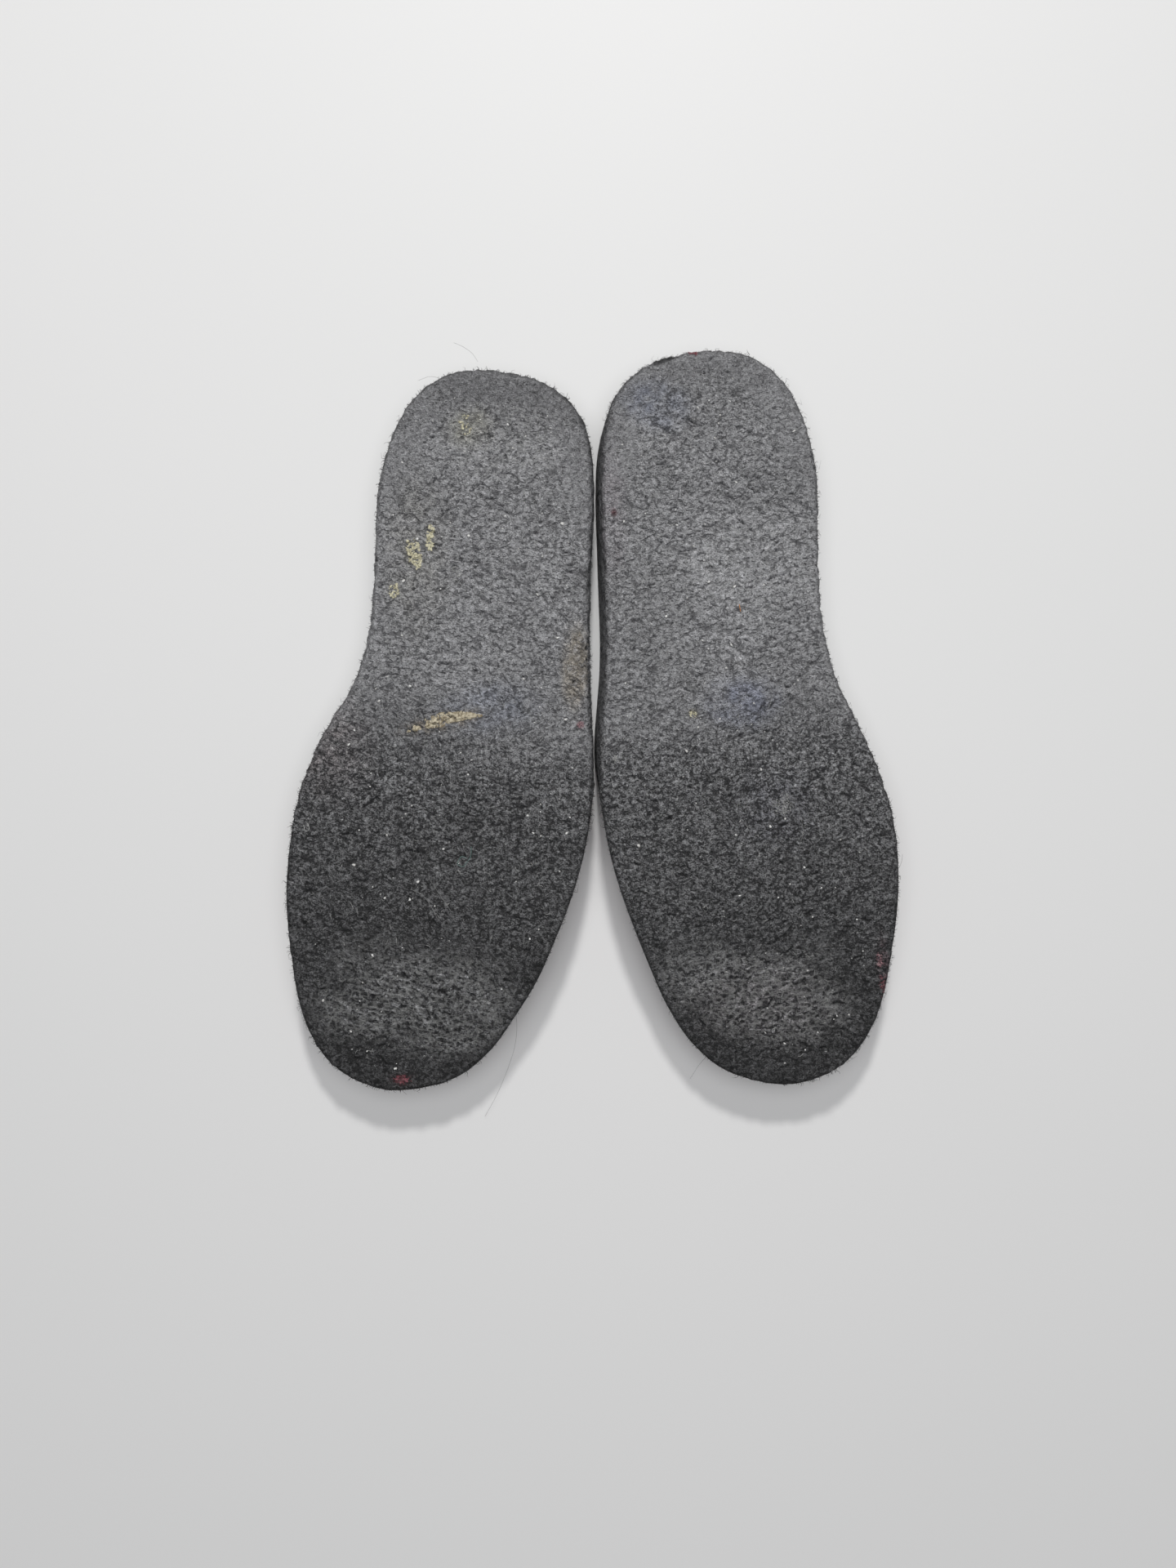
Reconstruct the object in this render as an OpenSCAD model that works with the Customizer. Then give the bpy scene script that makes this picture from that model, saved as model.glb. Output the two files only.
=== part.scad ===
// Pair of cushioned insoles lying upside-down, side by side, on their heel-cup rims.
// Each insole is a laminate: felt underside, foam footbed, soft top cover, with a heel
// pad, a metatarsal pad and an arch support set into the foam.
// +Z is up and the felt faces up; the heels point to +Y and the toes to -Y.
// The origin is the middle of the pair's footprint, on the surface that they lie on.
// The insole with its arch towards -X is the right foot's; the other is the left foot's.

/* [Outline] */
// Length of the drafted outline, heel to toe
insole_len = 252; // [230:1:280]
// Width of the drafted outline across the ball
ball_w = 100; // [90:1:110]
// Length of each insole against the drafted outline, right foot then left foot
len_trim = [0.995, 1.01]; // [0.98:0.005:1.02]
// Extra width of the outer edge from the waist forward, right foot then left foot
side_trim = [0.9, -0.8]; // [-1.5:0.1:1.5]
// Extra width of the arch edge just behind the ball, right foot then left foot
arch_trim = [1.3, -0.8]; // [-1.5:0.1:1.5]

/* [Height] */
// Height of the heel cup, from its rim to the felt face
cup_h = 20; // [17:0.5:23]
// Rise of the felt face from the arch to the ball
ball_rise = 1.5; // [0:0.1:3]
// Drop of the felt face from the ball to the toe
toe_drop = 7.4; // [2:0.1:8]
// How far the outer wall leans out from felt to rim, right foot then left foot
outer_flare = [0.3, 2.0]; // [0.2:0.1:2.2]
// How far the heel and arch walls lean out from felt to rim
inner_flare = 1.6; // [0.4:0.1:3]
// Thickness of the cup wall at its rim
wall_t = 4.4; // [4:0.1:5.5]
// How far the felt and the cover stop short of the foam's edge at the rim
rim_set = 0.3; // [0.2:0.1:0.6]

/* [Layers] */
// Total thickness under the heel
heel_t = 8.5; // [7.5:0.1:10]
// Total thickness under the ball
ball_t = 6; // [5.5:0.1:7]
// Total thickness at the toe tip
toe_t = 4.8; // [4.4:0.1:5.5]
// Thickness of the felt underside
felt_t = 1.5; // [1.2:0.1:1.8]
// Thickness of the top cover
cover_t = 1.7; // [1.4:0.1:1.9]
// Glue line between two layers
glue = 0.06; // [0.04:0.01:0.1]

/* [Pads] */
// Thickness of the heel pad
heel_pad_t = 3.2; // [2:0.1:3.6]
// Thickness of the metatarsal pad
met_pad_t = 1.4; // [1:0.1:1.6]
// Thickness of the arch support
arch_t = 1.6; // [1:0.1:2]
// Clearance between a pad and its pocket
pocket_gap = 0.08; // [0.05:0.01:0.2]

/* [Flex line] */
// Half angle of the notch that lets the forefoot bend at the ball
notch_deg = 24; // [15:1:26]
// Half of the gap left at the flex axis
notch_gap = 0.35; // [0.3:0.05:0.6]

/* [Layout] */
// Place of each heel's back edge, right foot then left foot
heel_at = [[-31.05, 120.8], [34.5, 127.6]]; // [-150:0.05:150]
// Angle by which each insole's toe turns outwards, right foot then left foot
splay = [7.9, 6.4]; // [3:0.1:12]

/* [Hidden] */

felt_c = [0.21, 0.21, 0.22];
foam_c = [0.13, 0.13, 0.14];
cover_c = [0.42, 0.12, 0.16];
pad_c = [0.62, 0.64, 0.66];
arch_c = [0.30, 0.31, 0.33];

RIGHT = 0;
LEFT = 1;

// Ribs of the outline from heel to toe: [along, out] at the arch side, then at the outer side
RIBS = [
    [1, 11.6, 1, 11.6], [5.4, 22, 5.4, 21.8], [13.6, 29.7, 13.6, 29.5], [26, 35, 26, 34.2],
    [42, 37.2, 42, 36.8], [60, 36.2, 60, 38.3], [80, 34.2, 78, 40], [97, 33.7, 92, 41.5],
    [113, 35.8, 104, 43.2], [127, 40.8, 115, 45.3], [141, 45.6, 127, 47.6],
    [156, 49, 139, 49.2], [171, 50.1, 152, 49.8], [186, 49.3, 165, 49],
    [199, 47.4, 179, 46.8], [212, 44.4, 193, 43.4], [224.3, 41.2, 207.3, 39.4],
    [236, 36, 221.6, 34], [246, 27.8, 235.2, 26.8], [251.8, 16.4, 246.4, 15.6]
];
TOE = [253, 2.5];
FLEX_RIB = 14;           // the rib that the forefoot bends about, counted from 1
SUB = 2;                 // outline points per rib
NR = len(RIBS);
NL = SUB * (2 * NR + 2); // points round the whole outline
HALF = NL / 2;
KF = SUB * FLEX_RIB;
RINGS = 7;               // rings from the rim, over the edge, in to the middle

function clamp(x, a, b) = min(b, max(a, x));
function mix(a, b, u) = a + (b - a) * u;
function smooth(x, a, b) = let(u = clamp((x - a) / (b - a), 0, 1)) u * u * (3 - 2 * u);
function window(x, a, b, c, d) = smooth(x, a, b) * (1 - smooth(x, c, d));

// Scales that carry the drafted outline to the chosen length and width
function kl(f) = len_trim[f] * insole_len / 252;
kw = ball_w / 100;

// One outline point and the spine point that its cross-section runs towards
function arch_out(f, r) = r[1] * kw + arch_trim[f] * window(r[0], 104, 128, 145, 170);
function side_out(f, r) = r[3] * kw + side_trim[f] * window(r[2], 60, 105, 205, 225);
function rib_spine(f, r) = [
    clamp((r[0] + r[2]) / 2, 38, 214) * kl(f), (arch_out(f, r) - side_out(f, r)) / 2
];
function ring_of(f) = concat(
    [[[0, 0], [38 * kl(f), 0]]],
    [for (r = RIBS) [[r[0] * kl(f), arch_out(f, r)], rib_spine(f, r)]],
    [[[TOE[0] * kl(f), TOE[1] * kw], [214 * kl(f), 0.8]]],
    [for (i = [NR - 1:-1:0]) let(r = RIBS[i])
        [[r[2] * kl(f), -side_out(f, r)], rib_spine(f, r)]]
);
function spline(a, b, c, d, u) =
    0.5 * (2 * b + (c - a) * u + (2 * a - 5 * b + 4 * c - d) * u * u
        + (3 * b - a - 3 * c + d) * u * u * u);
function loop(f) = let(c = ring_of(f), n = len(c)) [
    for (i = [0:n - 1], k = [0:SUB - 1])
        [for (m = [0, 1]) spline(c[(i + n - 1) % n][m], c[i][m], c[(i + 1) % n][m],
            c[(i + 2) % n][m], k / SUB)]
];
loops = [loop(RIGHT), loop(LEFT)];

// Heights along the insole, measured in drafted millimetres from the heel
function felt_z(s) = cup_h + ball_rise * smooth(s, 110, 175) - toe_drop * smooth(s, 180, 262);
function thick(s) = heel_t - (heel_t - ball_t) * smooth(s, 80, 165)
    - (ball_t - toe_t) * smooth(s, 190, 252);
// 1 where the wall reaches the surface below, 0 where only the flat laminate is left
function wallness(s, side) = side > 0 ? 1 - smooth(s, 138, 184) : 1 - smooth(s, 128, 163);

// Cross-section at one outline point: [distance in from the outline, height] for one ring
function section(f, e, side, j, inner, sp) =
    let(
        w = wallness(e, side),
        lat = side < 0 ? smooth(e, 10, 34) : 0,
        fl = mix(inner_flare, outer_flare[f], lat) * w,
        x0 = -fl,
        xf = 0,
        arch = side > 0 ? 1 + 0.45 * window(e, 60, 95, 120, 158) : 1,
        zr = (felt_z(e) - thick(e)) * (1 - w),
        zf = felt_z(sp),
        zi = felt_z(sp) - thick(sp),
        cup = inner ? [
                [x0 + wall_t, zr],
                [x0 + 0.35 * fl + wall_t + 0.5, mix(zr, zi, 0.4)],
                [xf + 6.2 * arch, mix(zi, zr, 0.3)],
                [xf + 8.2 * arch, mix(zi, zr, 0.16)],
                [xf + 10.2 * arch, mix(zi, zr, 0.07)],
                [xf + 12.6 * arch, mix(zi, zr, 0.02)],
                [16 * arch, zi]
            ] : [
                [x0, zr],
                [x0 + 0.45 * fl, mix(zr, zf, 0.45)],
                [xf, zf - 3.4],
                [xf + 0.5, zf - 1.6],
                [xf + 1.7, zf - 0.45],
                [xf + 4.5, zf],
                [16 * arch, zf]
            ],
        flat = inner ? [
                [0, zi], [0.5, zi], [1.2, zi], [2.2, zi], [4, zi], [8, zi], [16, zi]
            ] : [
                [0, zf - 1.25], [0.15, zf - 0.75], [0.45, zf - 0.35], [1, zf - 0.12],
                [2, zf], [6.5, zf], [16, zf]
            ]
    ) mix(flat[j], cup[j], w);

// Depth into the laminate of each layer's boundary, along a line of the cross-section
function depth(level, w, j, run, drop) =
    let(
        a = mix(j < 4 ? max(0.2, felt_t - (1.25 - 0.4 * j)) : felt_t, felt_t, w),
        b = cover_t
    ) level == 0 ? 0 : level == 1 ? a : level == 2 ? run - b : run;

function surface_point(f, k, j, level, off) =
    let(
        p = loops[f][k], e = p[0] , side = k <= HALF ? 1 : -1,
        dir = (p[1] - e) / norm(p[1] - e),
        es = e[0] / kl(f),
        // the height along the insole is read where the ring lies, not at the edge
        xo = section(f, es, side, j, false, es)[0],
        xi = section(f, es, side, j, true, es)[0],
        so = (e + dir * xo)[0] / kl(f),
        si = (e + dir * xi)[0] / kl(f),
        o = section(f, es, side, j, false, so),
        i = section(f, es, side, j, true, si),
        run = norm(i - o),
        d = depth(level, wallness(es, side), j, run, o[1] - i[1]) + off,
        q = o + (i - o) * (d / run),
        at = e + dir * q[0]
    ) [at[1], -at[0], q[1]];

// The flex line joins the arch side and the outer side of one rib
function flex_ends(f) = [for (k = [NL - KF, KF]) let(e = loops[f][k][0]) [e[1], -e[0], 0]];
function flex_dir(f) = let(q = flex_ends(f), v = q[1] - q[0]) v / norm(v);
function flex_fore(f) = let(v = flex_dir(f)) [v[1], -v[0], 0];
flex_z = felt_z(176) - ball_t / 2;
function notch(z) = notch_gap + abs(z - flex_z) * tan(notch_deg);

// Points and faces of one shell between two surfaces of the laminate
function stations(part) = part == "rear"
    ? [for (p = [0:2 * KF]) (p - KF + NL) % NL]
    : [for (p = [KF:NL - KF]) p];
function shell_points(f, part, lv, of) = let(
        st = stations(part), m = len(st), way = flex_fore(f) * (part == "rear" ? -1 : 1)
    ) [
        for (s = [0, 1], j = [0:RINGS - 1], p = [0:m - 1])
            let(q = surface_point(f, st[p], j, lv[s], of[s]))
                p == 0 || p == m - 1 ? q + way * notch(q[2])
                    : j == 0 && lv != [1, 2] ? q + [0, 0, rim_set * (1 - smooth(q[2], 0, 3))]
                    : q
    ];
function quad(a, b, c, d) = [[a, b, c], [a, c, d]];
function shell_faces(m) = let(c = (m - 1) / 2, r = RINGS - 1, n = RINGS * m) [
    for (j = [0:r - 1], p = [0:m - 2], t = [0, 1])
        quad(j * m + p, j * m + p + 1, (j + 1) * m + p + 1, (j + 1) * m + p)[t],
    for (j = [0:r - 1], p = [0:m - 2], t = [0, 1])
        quad(n + j * m + p, n + (j + 1) * m + p, n + (j + 1) * m + p + 1, n + j * m + p + 1)[t],
    for (p = [0:c - 2], t = [0, 1])
        quad(r * m + p, r * m + p + 1, r * m + m - 2 - p, r * m + m - 1 - p)[t],
    [r * m + c - 1, r * m + c, r * m + c + 1],
    for (p = [0:c - 2], t = [0, 1])
        quad(n + r * m + p, n + r * m + m - 1 - p, n + r * m + m - 2 - p, n + r * m + p + 1)[t],
    [n + r * m + c + 1, n + r * m + c, n + r * m + c - 1],
    for (p = [0:m - 2], t = [0, 1]) quad(p + 1, p, n + p, n + p + 1)[t],
    for (j = [0:r - 1], t = [0, 1]) quad(j * m, (j + 1) * m, n + (j + 1) * m, n + j * m)[t],
    for (j = [0:r - 1], t = [0, 1])
        quad((j + 1) * m + m - 1, j * m + m - 1, n + j * m + m - 1, n + (j + 1) * m + m - 1)[t],
    for (t = [0, 1]) quad(r * m, r * m + m - 1, n + r * m + m - 1, n + r * m)[t]
];

// A shell in its insole's own axes: +X to the arch side, -Y to the toe
module shell(f, part, lv, of = [0, 0]) {
    polyhedron(points = shell_points(f, part, lv, of), faces = shell_faces(len(stations(part))),
        convexity = 6);
}

// The middle of the footprint, so that the pair is centred on the origin
function placed(f, p) = let(
        a = f == RIGHT ? -splay[f] : splay[f], x = f == RIGHT ? -p[0] : p[0], y = p[1]
    ) [heel_at[f][0] + x * cos(a) - y * sin(a), heel_at[f][1] + x * sin(a) + y * cos(a)];
edge_points = [for (f = [RIGHT, LEFT], k = [0:NL - 1], j = [0, 2])
    placed(f, surface_point(f, k, j, 0, 0))];
mid = [for (a = [0, 1]) let(v = [for (p = edge_points) p[a]]) (min(v) + max(v)) / 2];

module place(f) {
    translate([heel_at[f][0] - mid[0], heel_at[f][1] - mid[1], 0])
        rotate([0, 0, f == RIGHT ? -splay[f] : splay[f]])
            mirror([f == RIGHT ? 1 : 0, 0, 0]) children();
}

// Outlines of the pads, seen from above, in the insole's own axes
module heel_pad_outline(grow = 0) {
    hull() {
        translate([0.5, -40]) circle(r = 18.5 + grow, $fn = 48);
        translate([-1, -58]) circle(r = 16 + grow, $fn = 48);
    }
}
module metatarsal_pad_outline(grow = 0) {
    hull() {
        translate([-1, -146]) circle(r = 18 + grow, $fn = 48);
        translate([-3, -118]) circle(r = 9 + grow, $fn = 48);
    }
}
module arch_outline(grow = 0) {
    hull() {
        translate([10, -72]) circle(r = 8 + grow, $fn = 32);
        translate([-6, -80]) circle(r = 8 + grow, $fn = 32);
        translate([13, -104]) circle(r = 12 + grow, $fn = 32);
        translate([18, -136]) circle(r = 11 + grow, $fn = 32);
    }
}

// A pad is the part of a thin level of the laminate that lies inside its outline
module heel_pad_body(f, g = 0) {
    intersection() {
        shell(f, "rear", [2, 2], [-glue / 2 - heel_pad_t - g, -glue / 2 + 8 * g]);
        translate([0, 0, 1]) linear_extrude(30) heel_pad_outline(g);
    }
}
module metatarsal_pad_body(f, g = 0) {
    intersection() {
        shell(f, "rear", [2, 2], [-glue / 2 - met_pad_t - g, -glue / 2 + 8 * g]);
        translate([0, 0, 1]) linear_extrude(30) metatarsal_pad_outline(g);
    }
}
module arch_body(f, g = 0) {
    intersection() {
        shell(f, "rear", [1, 1], [glue / 2 - 8 * g, glue / 2 + arch_t + g]);
        translate([0, 0, 1]) linear_extrude(30) arch_outline(g);
    }
}

module felt(f, part) {
    color(felt_c) place(f) shell(f, part, [0, 1], [0, -glue / 2]);
}
module cover(f, part) {
    color(cover_c) place(f) shell(f, part, [2, 3], [glue / 2, 0]);
}
module foam_rear(f) {
    color(foam_c) place(f) difference() {
        shell(f, "rear", [1, 2], [glue / 2, -glue / 2]);
        heel_pad_body(f, pocket_gap);
        metatarsal_pad_body(f, pocket_gap);
        arch_body(f, pocket_gap);
    }
}
module foam_fore(f) {
    color(foam_c) place(f) shell(f, "fore", [1, 2], [glue / 2, -glue / 2]);
}
module heel_pad(f) { color(pad_c) place(f) heel_pad_body(f); }
module metatarsal_pad(f) { color(pad_c) place(f) metatarsal_pad_body(f); }
module arch_support(f) { color(arch_c) place(f) arch_body(f); }

felt(RIGHT, "rear");  // right_felt_rear
felt(RIGHT, "fore");  // right_felt_fore
foam_rear(RIGHT);  // right_foam_rear
foam_fore(RIGHT);  // right_foam_fore
cover(RIGHT, "rear");  // right_cover_rear
cover(RIGHT, "fore");  // right_cover_fore
heel_pad(RIGHT);  // right_heel_pad
metatarsal_pad(RIGHT);  // right_metatarsal_pad
arch_support(RIGHT);  // right_arch_support
felt(LEFT, "rear");  // left_felt_rear
felt(LEFT, "fore");  // left_felt_fore
foam_rear(LEFT);  // left_foam_rear
foam_fore(LEFT);  // left_foam_fore
cover(LEFT, "rear");  // left_cover_rear
cover(LEFT, "fore");  // left_cover_fore
heel_pad(LEFT);  // left_heel_pad
metatarsal_pad(LEFT);  // left_metatarsal_pad
arch_support(LEFT);  // left_arch_support
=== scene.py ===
import math

import bpy
import numpy as np
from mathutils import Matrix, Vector
from mathutils.bvhtree import BVHTree
from mathutils.geometry import delaunay_2d_cdt


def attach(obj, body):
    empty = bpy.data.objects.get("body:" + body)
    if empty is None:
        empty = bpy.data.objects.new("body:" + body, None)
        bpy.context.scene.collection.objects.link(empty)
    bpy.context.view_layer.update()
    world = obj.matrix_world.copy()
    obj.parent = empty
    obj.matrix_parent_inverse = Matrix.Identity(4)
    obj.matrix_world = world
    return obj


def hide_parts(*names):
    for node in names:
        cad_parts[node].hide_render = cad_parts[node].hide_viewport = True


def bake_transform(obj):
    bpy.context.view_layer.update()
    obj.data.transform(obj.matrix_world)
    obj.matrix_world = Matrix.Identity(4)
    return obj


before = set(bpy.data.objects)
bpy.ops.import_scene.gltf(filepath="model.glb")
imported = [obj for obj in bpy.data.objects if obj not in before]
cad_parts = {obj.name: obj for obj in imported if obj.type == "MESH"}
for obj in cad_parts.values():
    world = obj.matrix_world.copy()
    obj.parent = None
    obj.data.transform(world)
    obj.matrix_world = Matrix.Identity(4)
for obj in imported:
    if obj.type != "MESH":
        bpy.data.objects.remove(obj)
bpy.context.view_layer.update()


MM = 0.001
RIGHT, LEFT = 0, 1
FOOT = ["right", "left"]

# ---------------------------------------------------------------- camera, light, floor
scene = bpy.context.scene
cam = bpy.data.objects.new("camera", bpy.data.cameras.new("camera"))
scene.collection.objects.link(cam)
cam.location = (-0.0015, -0.0221, 0.4234)
cam.rotation_euler = (0, 0, 0)
cam.data.sensor_fit = "VERTICAL"
cam.data.sensor_height = 36
cam.data.sensor_width = 27
cam.data.lens = 27
cam.data.clip_start = 0.01
cam.data.clip_end = 20
scene.camera = cam
scene.view_settings.view_transform = "Standard"
scene.view_settings.look = "None"
scene.view_settings.exposure = 0
scene.view_settings.gamma = 1

world = bpy.data.worlds.new("studio")
scene.world = world
world.use_nodes = True
world.node_tree.nodes["Background"].inputs["Color"].default_value = (0.965, 0.98, 1.0, 1)
world.node_tree.nodes["Background"].inputs["Strength"].default_value = 0.10


def area_light(name, at, towards, size, power, colour):
    data = bpy.data.lights.new(name, "AREA")
    data.shape = "DISK"
    data.size = size
    data.energy = power
    data.color = colour
    o = bpy.data.objects.new(name, data)
    scene.collection.objects.link(o)
    o.location = at
    o.rotation_euler = (Vector(towards) - Vector(at)).to_track_quat("-Z", "Y").to_euler()
    return o


area_light("key", (0.0, 1.19, 1.05), (0, -0.02, 0), 0.17, 12.9, (1.0, 0.99, 0.975))
# soft light from the ceiling; little of it is low enough to reach under the toes
area_light("ceiling", (0.0, 0.06, 1.25), (0.0, 0.0, 0.0), 1.35, 9.1, (0.985, 0.99, 1.0))


# ---------------------------------------------------------------- node helpers
def new_material(name):
    m = bpy.data.materials.new(name)
    m.use_nodes = True
    t = m.node_tree
    t.nodes.clear()
    out = t.nodes.new("ShaderNodeOutputMaterial")
    b = t.nodes.new("ShaderNodeBsdfPrincipled")
    t.links.new(b.outputs[0], out.inputs[0])
    return m, t, b


def node(t, kind, **inputs):
    n = t.nodes.new(kind)
    for k, v in inputs.items():
        n.inputs[k.replace("_", " ")].default_value = v
    return n


def link(t, a, b):
    t.links.new(a, b)


def math_node(t, op, a, b=None, c=None, clamp=False):
    n = t.nodes.new("ShaderNodeMath")
    n.operation = op
    n.use_clamp = clamp
    for i, v in enumerate((a, b, c)):
        if v is None:
            continue
        if isinstance(v, (int, float)):
            n.inputs[i].default_value = v
        else:
            link(t, v, n.inputs[i])
    return n.outputs[0]


def mix_colour(t, fac, a, b, blend="MIX"):
    n = t.nodes.new("ShaderNodeMix")
    n.data_type = "RGBA"
    n.blend_type = blend
    n.clamp_factor = True
    for i, v in ((0, fac), (6, a), (7, b)):
        if isinstance(v, (int, float)):
            n.inputs[i].default_value = v
        elif isinstance(v, tuple):
            n.inputs[i].default_value = (*v, 1) if len(v) == 3 else v
        else:
            link(t, v, n.inputs[i])
    return n.outputs[2]


def ramp(t, value, a, b, to_a=0.0, to_b=1.0):
    n = t.nodes.new("ShaderNodeMapRange")
    n.interpolation_type = "SMOOTHSTEP"
    n.inputs["From Min"].default_value = a
    n.inputs["From Max"].default_value = b
    n.inputs["To Min"].default_value = to_a
    n.inputs["To Max"].default_value = to_b
    link(t, value, n.inputs["Value"])
    return n.outputs["Result"]


def noise(t, vector, scale, detail=2.0, rough=0.5, distortion=0.0):
    n = node(t, "ShaderNodeTexNoise", Scale=scale, Detail=detail, Roughness=rough, Distortion=distortion)
    link(t, vector, n.inputs["Vector"])
    return n


def attribute(t, name):
    n = t.nodes.new("ShaderNodeAttribute")
    n.attribute_name = name
    return n


def stretched(t, vector, scale, turn):
    n = t.nodes.new("ShaderNodeMapping")
    n.inputs["Scale"].default_value = scale
    n.inputs["Rotation"].default_value = (0, 0, math.radians(turn))
    link(t, vector, n.inputs["Vector"])
    return n.outputs[0]


# ---------------------------------------------------------------- floor
floor_mesh = bpy.data.meshes.new("floor")
n = 24
gx, gy = np.meshgrid(np.linspace(-2.2, 2.2, n), np.linspace(-2.2, 2.2, n))
floor_mesh.from_pydata(
    [(x, y, 0.0) for x, y in zip(gx.ravel(), gy.ravel())], [],
    [(r * n + c, r * n + c + 1, (r + 1) * n + c + 1, (r + 1) * n + c) for r in range(n - 1) for c in range(n - 1)])
floor = bpy.data.objects.new("floor", floor_mesh)
scene.collection.objects.link(floor)
m, t, b = new_material("table_white")
pos = t.nodes.new("ShaderNodeTexCoord").outputs["Object"]
mottle = noise(t, pos, 3.0, 2, 0.5).outputs["Fac"]
link(t, mix_colour(t, mottle, (0.80, 0.805, 0.80), (0.83, 0.825, 0.825)), b.inputs["Base Color"])
b.inputs["Roughness"].default_value = 0.55
b.inputs["Specular IOR Level"].default_value = 0.25
floor_mesh.materials.append(m)

# ---------------------------------------------------------------- the insole's surfaces, as in the CAD source
LEN_TRIM = [0.995, 1.01]
SIDE_TRIM = [0.9, -0.8]
ARCH_TRIM = [1.3, -0.8]
CUP_H, BALL_RISE, TOE_DROP = 20, 1.5, 7.4
OUTER_FLARE, INNER_FLARE = [0.3, 2.0], 1.6
WALL_T, RIM_SET = 4.4, 0.3
HEEL_T, BALL_T, TOE_T = 8.5, 6, 4.8
FELT_T, COVER_T, GLUE = 1.5, 1.7, 0.06
HEEL_PAD_T, MET_PAD_T, ARCH_T, POCKET = 3.2, 1.4, 1.6, 0.08
HEEL_AT = [[-31.05, 120.8], [34.5, 127.6]]
SPLAY = [7.9, 6.4]
RIBS = [
    [1, 11.6, 1, 11.6], [5.4, 22, 5.4, 21.8], [13.6, 29.7, 13.6, 29.5], [26, 35, 26, 34.2],
    [42, 37.2, 42, 36.8], [60, 36.2, 60, 38.3], [80, 34.2, 78, 40], [97, 33.7, 92, 41.5],
    [113, 35.8, 104, 43.2], [127, 40.8, 115, 45.3], [141, 45.6, 127, 47.6],
    [156, 49, 139, 49.2], [171, 50.1, 152, 49.8], [186, 49.3, 165, 49],
    [199, 47.4, 179, 46.8], [212, 44.4, 193, 43.4], [224.3, 41.2, 207.3, 39.4],
    [236, 36, 221.6, 34], [246, 27.8, 235.2, 26.8], [251.8, 16.4, 246.4, 15.6]]
TOE = [253, 2.5]
FLEX_RIB = 14


def smooth(x, a, b):
    u = np.clip((np.asarray(x, float) - a) / (b - a), 0, 1)
    return u * u * (3 - 2 * u)


def window(x, a, b, c, d):
    return smooth(x, a, b) * (1 - smooth(x, c, d))


def mix(a, b, u):
    return a + (b - a) * u


def ring_of(f):
    kl = LEN_TRIM[f]
    arch = [float(r[1] + ARCH_TRIM[f] * window(r[0], 104, 128, 145, 170)) for r in RIBS]
    side = [float(r[3] + SIDE_TRIM[f] * window(r[2], 60, 105, 205, 225)) for r in RIBS]
    spine = [[min(214, max(38, (r[0] + r[2]) / 2)) * kl, (a - s) / 2] for r, a, s in zip(RIBS, arch, side)]
    out = [[[0, 0], [38 * kl, 0]]]
    out += [[[r[0] * kl, a], p] for r, a, p in zip(RIBS, arch, spine)]
    out += [[[TOE[0] * kl, TOE[1]], [214 * kl, 0.8]]]
    out += [[[r[2] * kl, -s], p] for r, s, p in list(zip(RIBS, side, spine))[::-1]]
    return np.array(out, float)


def loop(f, sub):
    """Points round the outline, each with the spine point its section runs to, and 1 on the arch side."""
    c = ring_of(f)
    n = len(c)
    i = np.arange(n)
    a, b, cc, d = c[(i - 1) % n], c[i], c[(i + 1) % n], c[(i + 2) % n]
    out = []
    for k in range(sub):
        u = k / sub
        out.append(0.5 * (2 * b + (cc - a) * u + (2 * a - 5 * b + 4 * cc - d) * u * u
                          + (3 * b - a - 3 * cc + d) * u ** 3))
    pts = np.stack(out, 1).reshape(n * sub, 2, 2)
    side = np.where(np.arange(n * sub) <= n * sub // 2, 1, -1)
    return pts, side


def felt_z(s):
    return CUP_H + BALL_RISE * smooth(s, 110, 175) - TOE_DROP * smooth(s, 180, 262)


def thick(s):
    return HEEL_T - (HEEL_T - BALL_T) * smooth(s, 80, 165) - (BALL_T - TOE_T) * smooth(s, 190, 252)


def wallness(s, side):
    return np.where(side > 0, 1 - smooth(s, 138, 184), 1 - smooth(s, 128, 163))


def section(f, e, side, j, inner, sp):
    w = wallness(e, side)
    fl = mix(INNER_FLARE, OUTER_FLARE[f], np.where(side < 0, smooth(e, 10, 34), 0)) * w
    arch = np.where(side > 0, 1 + 0.45 * window(e, 60, 95, 120, 158), 1)
    x0 = -fl
    zr = (felt_z(e) - thick(e)) * (1 - w)
    zf = felt_z(sp)
    zi = zf - thick(sp)
    if inner:
        cup = [(x0 + WALL_T, zr), (x0 + 0.35 * fl + WALL_T + 0.5, mix(zr, zi, 0.4)),
               (6.2 * arch, mix(zi, zr, 0.3)), (8.2 * arch, mix(zi, zr, 0.16)),
               (10.2 * arch, mix(zi, zr, 0.07)), (12.6 * arch, mix(zi, zr, 0.02)), (16 * arch, zi)][j]
        flat = [(0, zi), (0.5, zi), (1.2, zi), (2.2, zi), (4, zi), (8, zi), (16, zi)][j]
    else:
        cup = [(x0, zr), (x0 + 0.45 * fl, mix(zr, zf, 0.45)), (0, zf - 3.4), (0.5, zf - 1.6),
               (1.7, zf - 0.45), (4.5, zf), (16 * arch, zf)][j]
        flat = [(0, zf - 1.25), (0.15, zf - 0.75), (0.45, zf - 0.35), (1, zf - 0.12), (2, zf),
                (6.5, zf), (16, zf)][j]
    return mix(flat[0], cup[0], w), mix(flat[1], cup[1], w)


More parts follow.
